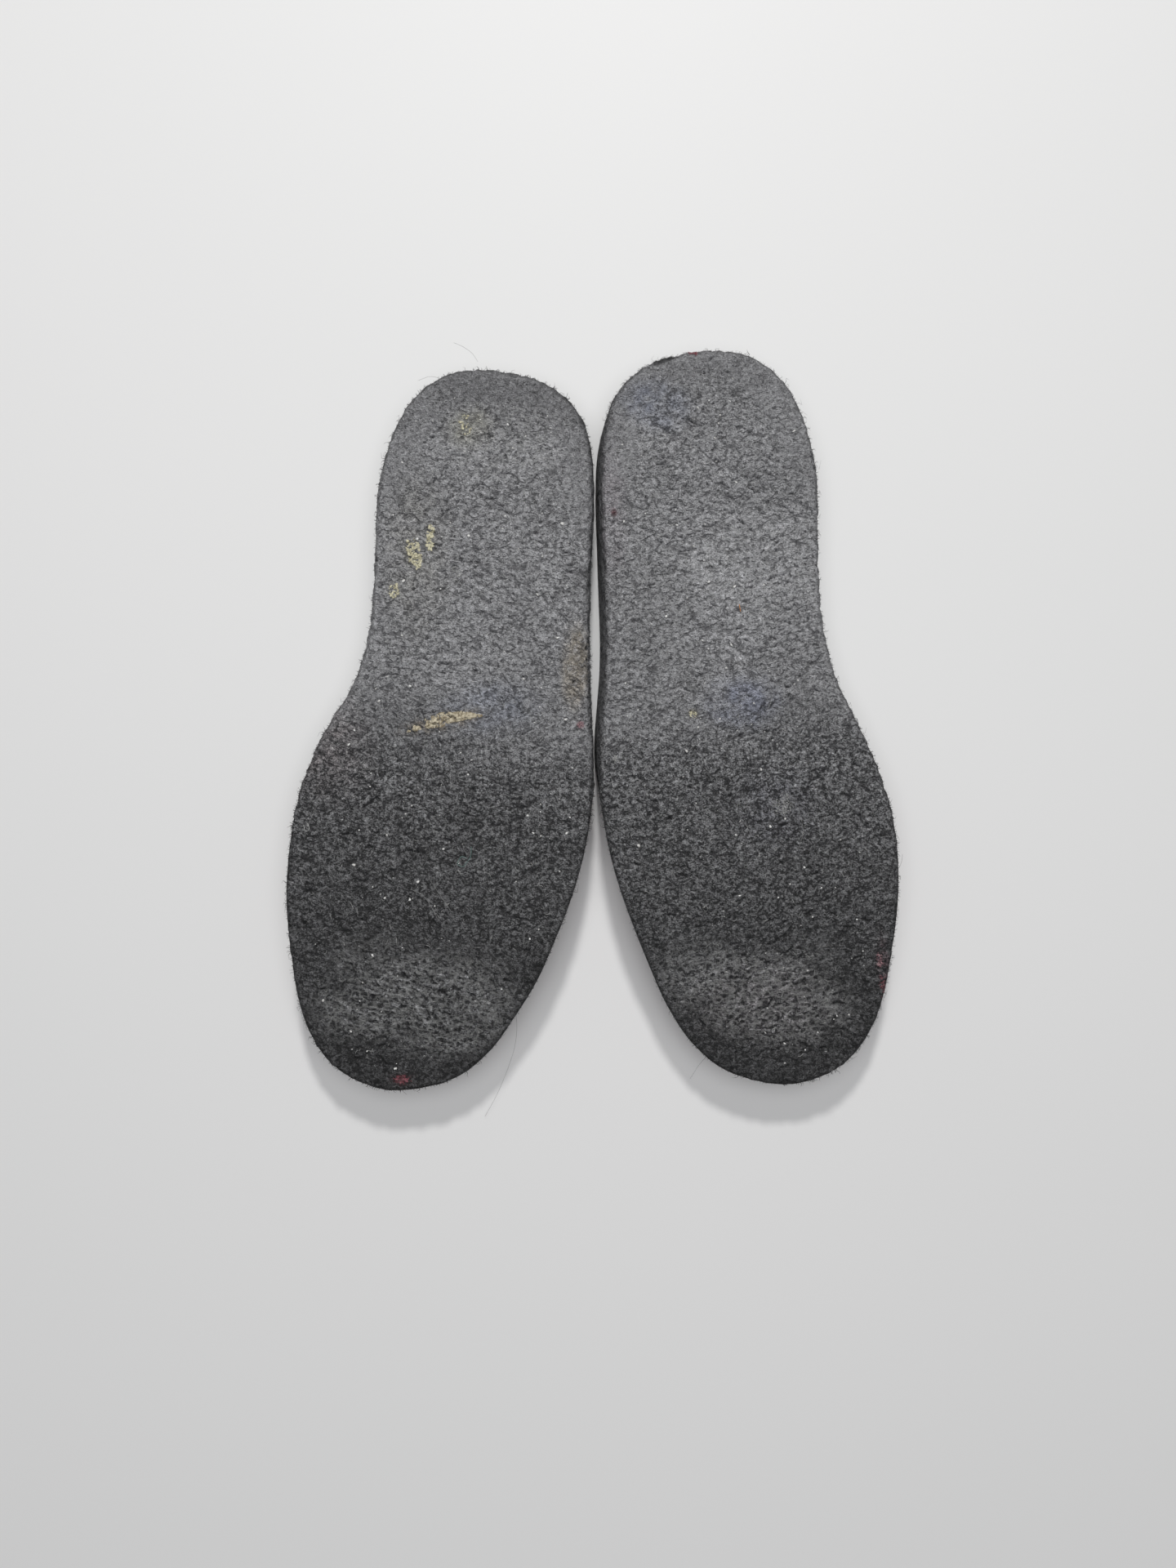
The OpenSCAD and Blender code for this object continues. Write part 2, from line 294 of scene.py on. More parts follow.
def control_rings(f, pts, side, level, off, lift):
    """The seven rings of one boundary of the laminate: (7, points, 3), in the insole's own axes."""
    e, sp = pts[:, 0], pts[:, 1]
    d = sp - e
    d /= np.linalg.norm(d, axis=1)[:, None]
    kl = LEN_TRIM[f]
    es = e[:, 0] / kl
    w = wallness(es, side)
    rows = []
    for j in range(7):
        xo = section(f, es, side, j, False, es)[0] + 0 * es
        xi = section(f, es, side, j, True, es)[0] + 0 * es
        so, si = (e + d * xo[:, None])[:, 0] / kl, (e + d * xi[:, None])[:, 0] / kl
        ox, oz = section(f, es, side, j, False, so)
        ix, iz = section(f, es, side, j, True, si)
        run = np.hypot(ix - ox, iz - oz)
        a = mix(max(0.2, FELT_T - (1.25 - 0.4 * j)) if j < 4 else FELT_T, FELT_T, w)
        depth = [0 * run, a, run - COVER_T, run][level] + off
        x, z = ox + (ix - ox) * depth / run, oz + (iz - oz) * depth / run
        at = e + d * x[:, None]
        if j == 0 and lift:
            z = z + RIM_SET * (1 - smooth(z, 0, 3))
        rows.append(np.stack([at[:, 1], -at[:, 0], z], 1))
    return np.stack(rows)


def resample(c, subs):
    """More rings between the first len(subs)+1 control rings, on a curve through them."""
    h = np.maximum(np.linalg.norm(np.diff(c, axis=0), axis=2), 1e-6)[..., None]
    v = np.diff(c, axis=0) / h
    tan = np.zeros_like(c)
    tan[0], tan[-1] = v[0], v[-1]
    tan[1:-1] = (v[1:] * h[:-1] + v[:-1] * h[1:]) / (h[:-1] + h[1:])
    rows, js = [], []
    for i, k in enumerate(subs):
        for q in range(k):
            u = q / k
            rows.append((2 * u ** 3 - 3 * u * u + 1) * c[i] + (u ** 3 - 2 * u * u + u) * h[i] * tan[i]
                        + (3 * u * u - 2 * u ** 3) * c[i + 1] + (u ** 3 - u * u) * h[i] * tan[i + 1])
            js.append(i + u)
    rows.append(c[len(subs)])
    js.append(len(subs))
    return np.stack(rows), np.array(js, float)


MID = None


def placed(f, p):
    """From an insole's own axes to the shared frame, in millimetres."""
    a = math.radians(-SPLAY[f] if f == RIGHT else SPLAY[f])
    x = -p[:, 0] if f == RIGHT else p[:, 0]
    y = p[:, 1]
    out = np.array(p, float)
    out[:, 0] = HEEL_AT[f][0] + x * math.cos(a) - y * math.sin(a) - MID[0]
    out[:, 1] = HEEL_AT[f][1] + x * math.sin(a) + y * math.cos(a) - MID[1]
    return out


def unplaced(f, xy):
    """From the shared frame to an insole's own axes, in millimetres."""
    a = math.radians(-SPLAY[f] if f == RIGHT else SPLAY[f])
    x, y = xy[:, 0] + MID[0] - HEEL_AT[f][0], xy[:, 1] + MID[1] - HEEL_AT[f][1]
    u, v = x * math.cos(a) + y * math.sin(a), -x * math.sin(a) + y * math.cos(a)
    return np.stack([-u if f == RIGHT else u, v], 1)


MID = (0.0, 0.0)
edges = []
for f in (RIGHT, LEFT):
    pts, side = loop(f, 2)
    c = control_rings(f, pts, side, 0, 0, False)
    edges += [placed(f, c[0]), placed(f, c[2])]
edges = np.concatenate(edges)
MID = tuple((edges[:, i].min() + edges[:, i].max()) / 2 for i in (0, 1))

# ---------------------------------------------------------------- noise on the unrolled felt, in millimetres


def hashed(i, j, k):
    h = (i.astype(np.int64) * 374761393 + j.astype(np.int64) * 668265263 + int(k) * 974711) & 0xFFFFFFFF
    h = ((h ^ (h >> 13)) * 1274126177) & 0xFFFFFFFF
    h = ((h ^ (h >> 15)) * 2246822519) & 0xFFFFFFFF
    h ^= h >> 16
    return (h & 0xFFFFFF) / float(0x1000000)


def value_noise(x, y, scale, seed):
    x, y = x / scale, y / scale
    i, j = np.floor(x), np.floor(y)
    u, v = x - i, y - j
    u, v = u * u * (3 - 2 * u), v * v * (3 - 2 * v)
    a, b = hashed(i, j, seed), hashed(i + 1, j, seed)
    c, d = hashed(i, j + 1, seed), hashed(i + 1, j + 1, seed)
    return 2 * mix(mix(a, b, u), mix(c, d, u), v) - 1


def layered(x, y, scale, seed, octaves=3, gain=0.55):
    out, amp, total = 0, 1.0, 0.0
    for o in range(octaves):
        out = out + amp * value_noise(x + 17.3 * o, y - 9.1 * o, scale / 2 ** o, seed + o)
        total += amp
        amp *= gain
    return out / total


def cells(x, y, scale, seed):
    """Distance to the nearest and to the second nearest cell centre, in cells, and the nearest cell's number."""
    x, y = x / scale, y / scale
    i, j = np.floor(x), np.floor(y)
    f1, f2 = np.full(x.shape, 9.0), np.full(x.shape, 9.0)
    best = np.zeros(x.shape)
    for di in (-1, 0, 1):
        for dj in (-1, 0, 1):
            ci, cj = i + di, j + dj
            d = np.hypot(ci + 0.1 + 0.8 * hashed(ci, cj, seed) - x, cj + 0.1 + 0.8 * hashed(ci, cj, seed + 1) - y)
            near = d < f1
            f2 = np.where(near, f1, np.minimum(f2, d))
            best = np.where(near, hashed(ci, cj, seed + 2), best)
            f1 = np.where(near, d, f1)
    return f1, f2, best


RES, GX, GY = 0.2, 78.0, 30.0
NX, NY = 780, 1590


def sample(grid, x, y):
    u = np.clip((x + GX) / RES, 0, NX - 1.001)
    v = np.clip((GY - y) / RES, 0, NY - 1.001)
    i, j = u.astype(int), v.astype(int)
    u, v = u - i, v - j
    return ((grid[j, i] * (1 - u) + grid[j, i + 1] * u) * (1 - v)
            + (grid[j + 1, i] * (1 - u) + grid[j + 1, i + 1] * u) * v)


def blob(x, y, cx, cy, rx, ry, turn=0.0, soft=0.5):
    """1 inside an ellipse, falling to 0 over the outer share soft of its radius."""
    a = math.radians(turn)
    u, v = x - cx, y - cy
    u, v = u * math.cos(a) + v * math.sin(a), -u * math.sin(a) + v * math.cos(a)
    return 1 - smooth(np.hypot(u / rx, v / ry), 1 - soft, 1 + soft)


# Places on the felt, in the shared frame, in millimetres: [x, y, half width, half length, turn, strength]
ABRADED = {
    RIGHT: [(-30, 96, 20, 13, 0, 0.85), (-46, 100, 8, 7, 0, 0.5), (-63, -94, 30, 13, 14, 1.0),
            (-46, -103, 20, 11, 20, 0.9), (-74, -82, 14, 10, 0, 0.5)],
    LEFT: [(56, 52, 22, 17, 0, 0.55), (60, -96, 26, 14, -12, 0.9), (38, -88, 15, 12, -30, 0.8),
           (74, -84, 10, 9, 0, 0.4), (22, 36, 12, 20, 0, 0.3)],
}
TINTS = {
    RIGHT: [(-35, 4, 15, 8, 0, (-0.04, -0.01, 0.07)), (-92, -10, 14, 16, 0, (0.06, -0.01, -0.02)),
            (-42, 100, 7, 6, 0, (0.05, 0.04, -0.08)), (-60, 56, 10, 24, 0, (0.02, 0.01, -0.03)),
            (-6, 18, 4, 14, 0, (0.12, 0.07, 0.0))],
    LEFT: [(22, 108, 10, 7, -15, (-0.07, -0.02, 0.12)), (52, 6, 11, 8, 0, (-0.06, -0.02, 0.13)),
           (62, -30, 12, 12, 0, (0.0, 0.0, 0.05)), (6, 70, 5, 20, 0, (0.05, 0.0, 0.02)),
           (58, -98, 24, 13, 0, (0.05, 0.0, 0.01))],
}


def felt_maps(f):
    """Height in millimetres, slit, fleck and smoothness maps of one insole's unrolled felt."""
    r = np.random.default_rng(41 + f)
    x, y = np.meshgrid(-GX + RES * np.arange(NX), GY - RES * np.arange(NY))
    s = -y / LEN_TRIM[f]
    # distance in from the outline, found on a coarse grid
    pts, side = loop(f, 8)
    ring = np.stack([pts[:, 0, 1], -pts[:, 0, 0]], 1)
    step = 10
    cx, cy = x[::step, ::step], y[::step, ::step]
    far = np.full(cx.shape, 1e9)
    inside = np.zeros(cx.shape, bool)
    nxt = np.roll(ring, -1, 0)
    for (ax, ay), (bx, by) in zip(ring, nxt):
        far = np.minimum(far, np.hypot(cx - ax, cy - ay))
        if ay != by:
            inside ^= ((ay > cy) != (by > cy)) & (cx < (bx - ax) * (cy - ay) / (by - ay) + ax)
    coarse = np.where(inside, far, -far)
    gi, gj = np.minimum(np.arange(NX) / step, coarse.shape[1] - 1.001), np.minimum(np.arange(NY) / step, coarse.shape[0] - 1.001)
    i0, j0 = gi.astype(int), gj.astype(int)
    u, v = (gi - i0)[None, :], (gj - j0)[:, None]
    edge = ((coarse[j0][:, i0] * (1 - u) + coarse[j0][:, i0 + 1] * u) * (1 - v)
            + (coarse[j0 + 1][:, i0] * (1 - u) + coarse[j0 + 1][:, i0 + 1] * u) * v)
    row = placed(f, np.stack([x.ravel(), y.ravel(), 0 * x.ravel()], 1))
    X, Y = row[:, 0].reshape(x.shape), row[:, 1].reshape(x.shape)

    band = (1 - smooth(edge + 2.5 * layered(x, y, 9, 5), 8, 14)) * (1 - smooth(s, 34, 60))
    band = np.maximum(band, (1 - smooth(edge, 0.5, 3)) * 0.7)
    worn = np.zeros(x.shape)
    for bx, by, rx, ry, turn, k in ABRADED[f]:
        worn = np.maximum(worn, k * blob(X, Y, bx, by, rx, ry, turn, 0.45))
    worn = np.clip(worn * (1 + 0.9 * layered(x, y, 7, 21)), 0, 1)
    ball = smooth(s, 118, 150)
    toe_net = smooth(s, 196, 214)

    wx = x + 1.3 * layered(x, y, 4.2, 31, 2)
    wy = y + 1.1 * layered(x, y, 4.0, 35, 2)
    turn = 0.35 * layered(x, y, 40, 77, 2)
    ux, uy = wx * np.cos(turn) + wy * np.sin(turn), -wx * np.sin(turn) + wy * np.cos(turn)
    f1, f2, number = cells(ux / 1.35, uy, 2.3, 51)
    clump = (1 - smooth(f1, 0.05, 0.85)) * (0.55 + 0.45 * number)
    g1, g2, small = cells(wx / 1.15 + 40, wy, 1.25, 61)
    nub = 1 - smooth(g1, 0.0, 0.8)
    net = 1 - smooth(f2 - f1, 0.02, 0.26)
    height = (0.42 * clump + 0.22 * nub + 0.16 * layered(x, y, 1.1, 71, 2) + 0.26 * layered(x, y, 17, 81, 2)
              + 0.14 * layered(x, y, 6, 91, 2))
    height += toe_net * worn * (0.26 * net - 0.30 * clump)
    height *= mix(1, 0.42, band)

    # the slit map carves grooves and also sets the painted shade in them, in the felt material
    slit = np.zeros(x.shape)
    flow = 0.75 * layered(x, y, 26, 101, 2)
    flow_small = 0.8 * layered(x, y, 7, 105, 2)
    for k in range(2300):
        px, py = r.uniform(-GX + 8, GX - 8), r.uniform(8 - 288, GY - 8)
        i, j = int((px + GX) / RES), int((GY - py) / RES)
        if not (0 <= j < NY) or edge[j, i] < -18:
            continue
        b, wn, sl = band[j, i], worn[j, i], s[j, i]
        if r.random() < 0.75 * b or r.random() < 0.25 * wn:
            continue
        long = float(np.clip(r.lognormal(1.05, 0.5), 1.4, 8.5))
        if r.random() < 0.35:
            long *= 0.5
        wide = r.uniform(0.24, 0.40) * (1.15 if sl > 130 else 1.0)
        deep = r.uniform(0.5, 1.0) * (1 - 0.5 * b)
        a = flow[j, i] + flow_small[j, i] + r.normal(0, 0.35)
        curl = r.normal(0, 0.22)
        m = 7
        dist = np.linspace(-long / 2, long / 2, m)
        ang = a + curl * dist + 0.35 * np.sin(dist * 1.9 + r.uniform(0, 6))
        seg = long / (m - 1)
        qx = px + np.concatenate([[0], np.cumsum(np.cos(ang[:-1]) * seg)]) - long / 2 * math.cos(a)
        qy = py + np.concatenate([[0], np.cumsum(np.sin(ang[:-1]) * seg)]) - long / 2 * math.sin(a)
        pad = 1.6
        i0, i1 = int((qx.min() - pad + GX) / RES), int((qx.max() + pad + GX) / RES) + 1
        j0, j1 = int((GY - qy.max() - pad) / RES), int((GY - qy.min() + pad) / RES) + 1
        i0, i1, j0, j1 = max(i0, 0), min(i1, NX), max(j0, 0), min(j1, NY)
        if i1 <= i0 or j1 <= j0:
            continue
        sx, sy = x[j0:j1, i0:i1], y[j0:j1, i0:i1]
        best, lean = np.full(sx.shape, 9.0), np.zeros(sx.shape)
        for q in range(m - 1):
            dx, dy = qx[q + 1] - qx[q], qy[q + 1] - qy[q]
            ll = dx * dx + dy * dy
            tt = np.clip(((sx - qx[q]) * dx + (sy - qy[q]) * dy) / ll, 0, 1)
            ox, oy = sx - qx[q] - tt * dx, sy - qy[q] - tt * dy
            d = np.hypot(ox, oy) + 0.25 * max(0, abs(q - (m - 2) / 2) - 1.2) * wide
            near = d < best
            best = np.where(near, d, best)
            lean = np.where(near, (dx * oy - dy * ox) / math.sqrt(ll), lean)
        cut = np.exp(-(best / wide) ** 2)
        lip = np.exp(-((best - 0.75) / 0.42) ** 2)
        height[j0:j1, i0:i1] += -deep * cut + 0.30 * deep * lip * np.where(lean > 0, 1.0, 0.35)
        slit[j0:j1, i0:i1] = np.maximum(slit[j0:j1, i0:i1], cut * min(1.0, 0.5 + deep))

    # how far a place is worn pale: most on the toe patches, thinly elsewhere
    fleck = np.clip(worn * mix(0.50, 1.35, toe_net) + 0.10 * (1 - toe_net) * (1 - ball), 0, 1)
    fleck = fleck * (1 - 0.85 * band) * (1 - slit)
    return {"x": x, "y": y, "X": X, "Y": Y, "s": s, "edge": edge, "band": band, "worn": worn,
            "net": toe_net * worn * net, "height": height, "slit": slit, "fleck": fleck, "ball": ball, "clump": clump}


# Grey of the felt along the insole, in display steps of 255, before marks
TONE_S = [0, 30, 110, 150, 200, 250]
TONE_V = {RIGHT: [105, 120, 120, 90, 65, 55],
          LEFT: [115, 120, 120, 95, 70, 55]}


def felt_colour(f, maps):
    """Linear albedo of the felt as three maps."""
    s, x, y, X, Y = (maps[k] for k in ("s", "x", "y", "X", "Y"))
    tone = np.interp(s, TONE_S, TONE_V[f])
    # the dark ball zone ends in a ragged, slanting line
    tone = tone + 7 * layered(x, y, 22, 141, 2) + 5 * layered(x, y, 6, 151, 2)
    tone = tone - 2 * maps["worn"] * smooth(s, 180, 205) + 2 * maps["worn"]
    # painted shade: the felt is darkened along its outline, where its face rolls down over the edge; the net of worn
    # ridges is made paler
    tone = tone - 22 * (1 - smooth(maps["edge"], 0.2, 1.7)) + 58 * maps["net"]
    tone = tone - 9 * maps["band"] * (1 - smooth(s, 40, 70))
    if f == LEFT:
        tone = tone + 7 * blob(X, Y, 56, 52, 30, 20, 0, 0.5) - 6 * blob(X, Y, 20, 40, 14, 16, 0, 0.5)
    tone = np.clip(tone, 30, 200) / 255
    lin = mix(1.84, 2.25, maps["ball"]) * tone ** 2.2
    r, g, b = lin * 1.0, lin * 1.0, lin * 1.035
    for cx, cy, rx, ry, turn, (dr, dg, db) in TINTS[f]:
        k = blob(X, Y, cx, cy, rx, ry, turn, 0.6) * (0.75 + 0.5 * value_noise(x, y, 3, 161))
        r, g, b = r * (1 + dr * k), g * (1 + dg * k), b * (1 + db * k)
    return [r, g, b]


def repaint(rgb, weight, to):
    for i in range(3):
        rgb[i] = mix(rgb[i], to[i], weight)


# ---------------------------------------------------------------- mesh helpers
def triangles_of(faces):
    out = []
    for a in faces:
        if a.shape[1] == 3:
            out.append(a)
        else:
            out += [a[:, [0, 1, 2]], a[:, [0, 2, 3]]]
    return np.concatenate(out)


def vertex_normals(v, faces):
    t = triangles_of(faces)
    n = np.cross(v[t[:, 1]] - v[t[:, 0]], v[t[:, 2]] - v[t[:, 0]])
    out = np.zeros_like(v)
    for k in range(3):
        for i in range(3):
            out[:, i] += np.bincount(t[:, k], n[:, i], len(v))
    return out / np.maximum(np.linalg.norm(out, axis=1), 1e-12)[:, None]


def facing(v, faces, sign):
    """The faces turned so that together they look up (sign 1) or down (-1)."""
    t = triangles_of([faces])
    n = np.cross(v[t[:, 1]] - v[t[:, 0]], v[t[:, 2]] - v[t[:, 0]])[:, 2].sum()
    return faces if n * sign > 0 else faces[:, ::-1]


def make_mesh(name, v, faces, material, mm=True, smooth_shade=True):
    me = bpy.data.meshes.new(name)
    v = np.asarray(v, np.float32) * (MM if mm else 1)
    me.vertices.add(len(v))
    me.vertices.foreach_set("co", v.ravel())
    counts = np.concatenate([np.full(len(a), a.shape[1], np.int32) for a in faces])
    loops = np.concatenate([a.ravel() for a in faces]).astype(np.int32)
    me.loops.add(len(loops))
    me.loops.foreach_set("vertex_index", loops)
    me.polygons.add(len(counts))
    me.polygons.foreach_set("loop_start", np.concatenate([[0], np.cumsum(counts)[:-1]]).astype(np.int32))
    me.polygons.foreach_set("loop_total", counts)
    me.polygons.foreach_set("use_smooth", np.full(len(counts), smooth_shade))
    me.update(calc_edges=True)
    me.validate()
    o = bpy.data.objects.new(name, me)
    scene.collection.objects.link(o)
    if material is not None:
        me.materials.append(material)
    return o


def put_float(o, name, values):
    a = o.data.attributes.new(name, "FLOAT", "POINT")
    a.data.foreach_set("value", np.asarray(values, np.float32))


def put_vector(o, name, values):
    a = o.data.attributes.new(name, "FLOAT_VECTOR", "POINT")
    a.data.foreach_set("vector", np.asarray(values, np.float32).ravel())


def put_colour(o, name, rgb):
    a = o.data.attributes.new(name, "FLOAT_COLOR", "POINT")
    c = np.ones((len(rgb[0]), 4), np.float32)
    for i in range(3):
        c[:, i] = rgb[i]
    a.data.foreach_set("color", c.ravel())


def inside_ring(ring, p):
    nxt = np.roll(ring, -1, 0)
    out = np.zeros(len(p), bool)
    for (ax, ay), (bx, by) in zip(ring, nxt):
        if ay != by:
            out ^= ((ay > p[:, 1]) != (by > p[:, 1])) & (p[:, 0] < (bx - ax) * (p[:, 1] - ay) / (by - ay) + ax)
    return out


def fill_ring(ring, spacing, seed, margin=0.6):
    """Points inside a ring on a jittered triangular grid, and triangles over the ring and those points."""
    r = np.random.default_rng(seed)
    lo, hi = ring.min(0), ring.max(0)
    rows = np.arange(lo[1], hi[1], spacing * 0.866)
    cols = np.arange(lo[0], hi[0], spacing)
    x, y = np.meshgrid(cols, rows)
    x = x + (np.arange(len(rows)) % 2)[:, None] * spacing / 2
    p = np.stack([x.ravel(), y.ravel()], 1) + r.uniform(-0.16, 0.16, (x.size, 2)) * spacing
    # a coarser ring is enough to tell inside from outside
    few = ring[:: max(1, len(ring) // 280)]
    p = p[inside_ring(few, p)]
    keep = np.ones(len(p), bool)
    for a in range(0, len(p), 4000):
        q = p[a:a + 4000]
        d = np.full(len(q), 1e9)
        for b in range(0, len(ring), 60):
            near = ring[b:b + 60]
            d = np.minimum(d, ((q[:, None, :] - near[None]) ** 2).sum(2).min(1))
        keep[a:a + 4000] = d > (margin * spacing) ** 2
    p = p[keep]
    n = len(ring)
    every = np.concatenate([ring, p])
    got = delaunay_2d_cdt([Vector(q) for q in every], [(i, (i + 1) % n) for i in range(n)], [list(range(n))], 1, 1e-7)
    source = np.array([o[0] if o else -1 for o in got[3]])
    tri = np.array([fc for fc in got[2] if len(fc) == 3])
    tri = source[tri]
    tri = tri[(tri >= 0).all(1)]
    return p, tri


def ring_faces(rows, n, start=0):
    r, p = np.meshgrid(np.arange(rows - 1), np.arange(n), indexing="ij")
    q = (p + 1) % n
    return (start + np.stack([r * n + p, r * n + q, (r + 1) * n + q, (r + 1) * n + p], -1)).reshape(-1, 4)


def level_height(f, level, off, y):
    s = -y / LEN_TRIM[f]
    z = felt_z(s)
    return [z, z - FELT_T, z - thick(s) + COVER_T, z - thick(s)][level] - off


def surface(f, sub, level, off, lift, subs, spacing, seed):
    """One boundary of the laminate as an open mesh: vertices in the insole's own axes, faces, rings, ring numbers
    and the unrolled place of every vertex."""
    pts, side = loop(f, sub)
    rows, js = resample(control_rings(f, pts, side, level, off, lift), subs)
    n = len(pts)
    last = rows[-1]
    p, tri = fill_ring(last[:, :2], spacing, seed)
    z = level_height(f, level, off, p[:, 1])
    v = np.concatenate([rows.reshape(-1, 3), np.column_stack([p, z])])
    tri = np.where(tri < n, tri + (len(rows) - 1) * n, tri - n + len(rows) * n)
    faces = [ring_faces(len(rows), n), tri]
    # unrolled: each ring is laid flat outwards from the last one by its distance along the surface
    d = pts[:, 1] - pts[:, 0]
    d /= np.linalg.norm(d, axis=1)[:, None]
    out = -np.stack([d[:, 1], -d[:, 0]], 1)
    leng = np.linalg.norm(np.diff(rows, axis=0), axis=2)
    away = np.concatenate([np.cumsum(leng[::-1], 0)[::-1], np.zeros((1, n))])
    flat = last[None, :, :2] + out[None] * away[..., None]
    q = np.concatenate([flat.reshape(-1, 2), p])
    j = np.concatenate([np.repeat(js, n), np.full(len(p), 9.0)])
    w = np.concatenate([np.tile(wallness(pts[:, 0, 0] / LEN_TRIM[f], side), len(rows)), np.ones(len(p))])
    return {"v": v, "faces": faces, "n": n, "rows": len(rows), "q": q, "j": j, "w": w, "pts": pts, "side": side}


def closed(f, top, bottom, strip=1):
    """Joins an upper and a lower boundary along their first rings into one closed mesh in the shared frame."""
    n = top["n"]
    v = np.concatenate([top["v"], bottom["v"]])
    k = len(top["v"])
    v = placed(f, v)
    extra = []
    if strip > 1:
        a, b = v[:n], v[k:k + n]
        for q in range(1, strip):
            extra.append(mix(a, b, q / strip))
        base = len(v)
        v = np.concatenate([v, *extra])
    i = np.arange(n)
    nx = (i + 1) % n
    rows = [i] + [base + (q - 1) * n + i for q in range(1, strip)] + [k + i] if strip > 1 else [i, k + i]
    side_faces = np.concatenate([np.stack([a[i], a[nx], b[nx], b[i]], 1) for a, b in zip(rows[:-1], rows[1:])])
    up = facing(v, top["faces"][0], 1), facing(v, top["faces"][1], 1)
    down = facing(v, bottom["faces"][0] + k, -1), facing(v, bottom["faces"][1] + k, -1)
    # the strip turns the same way as the ring faces that it meets
    if (up[0][0] == top["faces"][0][0]).all():
        side_faces = side_faces[:, ::-1]
    return v, [up[0], up[1], down[0], down[1], side_faces], k


# the line midway between the two insoles, so that neither's surface crosses it
def side_line(f, toward):
    pts, side = loop(f, 8)
    c = control_rings(f, pts, side, 0, 0, False)
    p = np.concatenate([placed(f, c[j]) for j in (0, 1, 2, 3)])
    ys = np.arange(-128, 129, 2.0)
    xs = []
    for yy in ys:
        near = np.abs(p[:, 1] - yy) < 3
        xs.append((p[near, 0].max() if toward > 0 else p[near, 0].min()) if near.any() else np.nan)
    return ys, np.array(xs)


ys, inner_right = side_line(RIGHT, 1)
_, inner_left = side_line(LEFT, -1)
between = (inner_right + inner_left) / 2
ok = np.isfinite(between)
MID_Y, MID_X = ys[ok], between[ok]


def keep_apart(f, v, gap=0.09):
    line = np.interp(v[:, 1], MID_Y, MID_X)
    near = (v[:, 1] > MID_Y[0]) & (v[:, 1] < MID_Y[-1])
    v = np.array(v)
    if f == RIGHT:
        v[near, 0] = np.minimum(v[near, 0], line[near] - gap)
    else:
        v[near, 0] = np.maximum(v[near, 0], line[near] + gap)
    return v


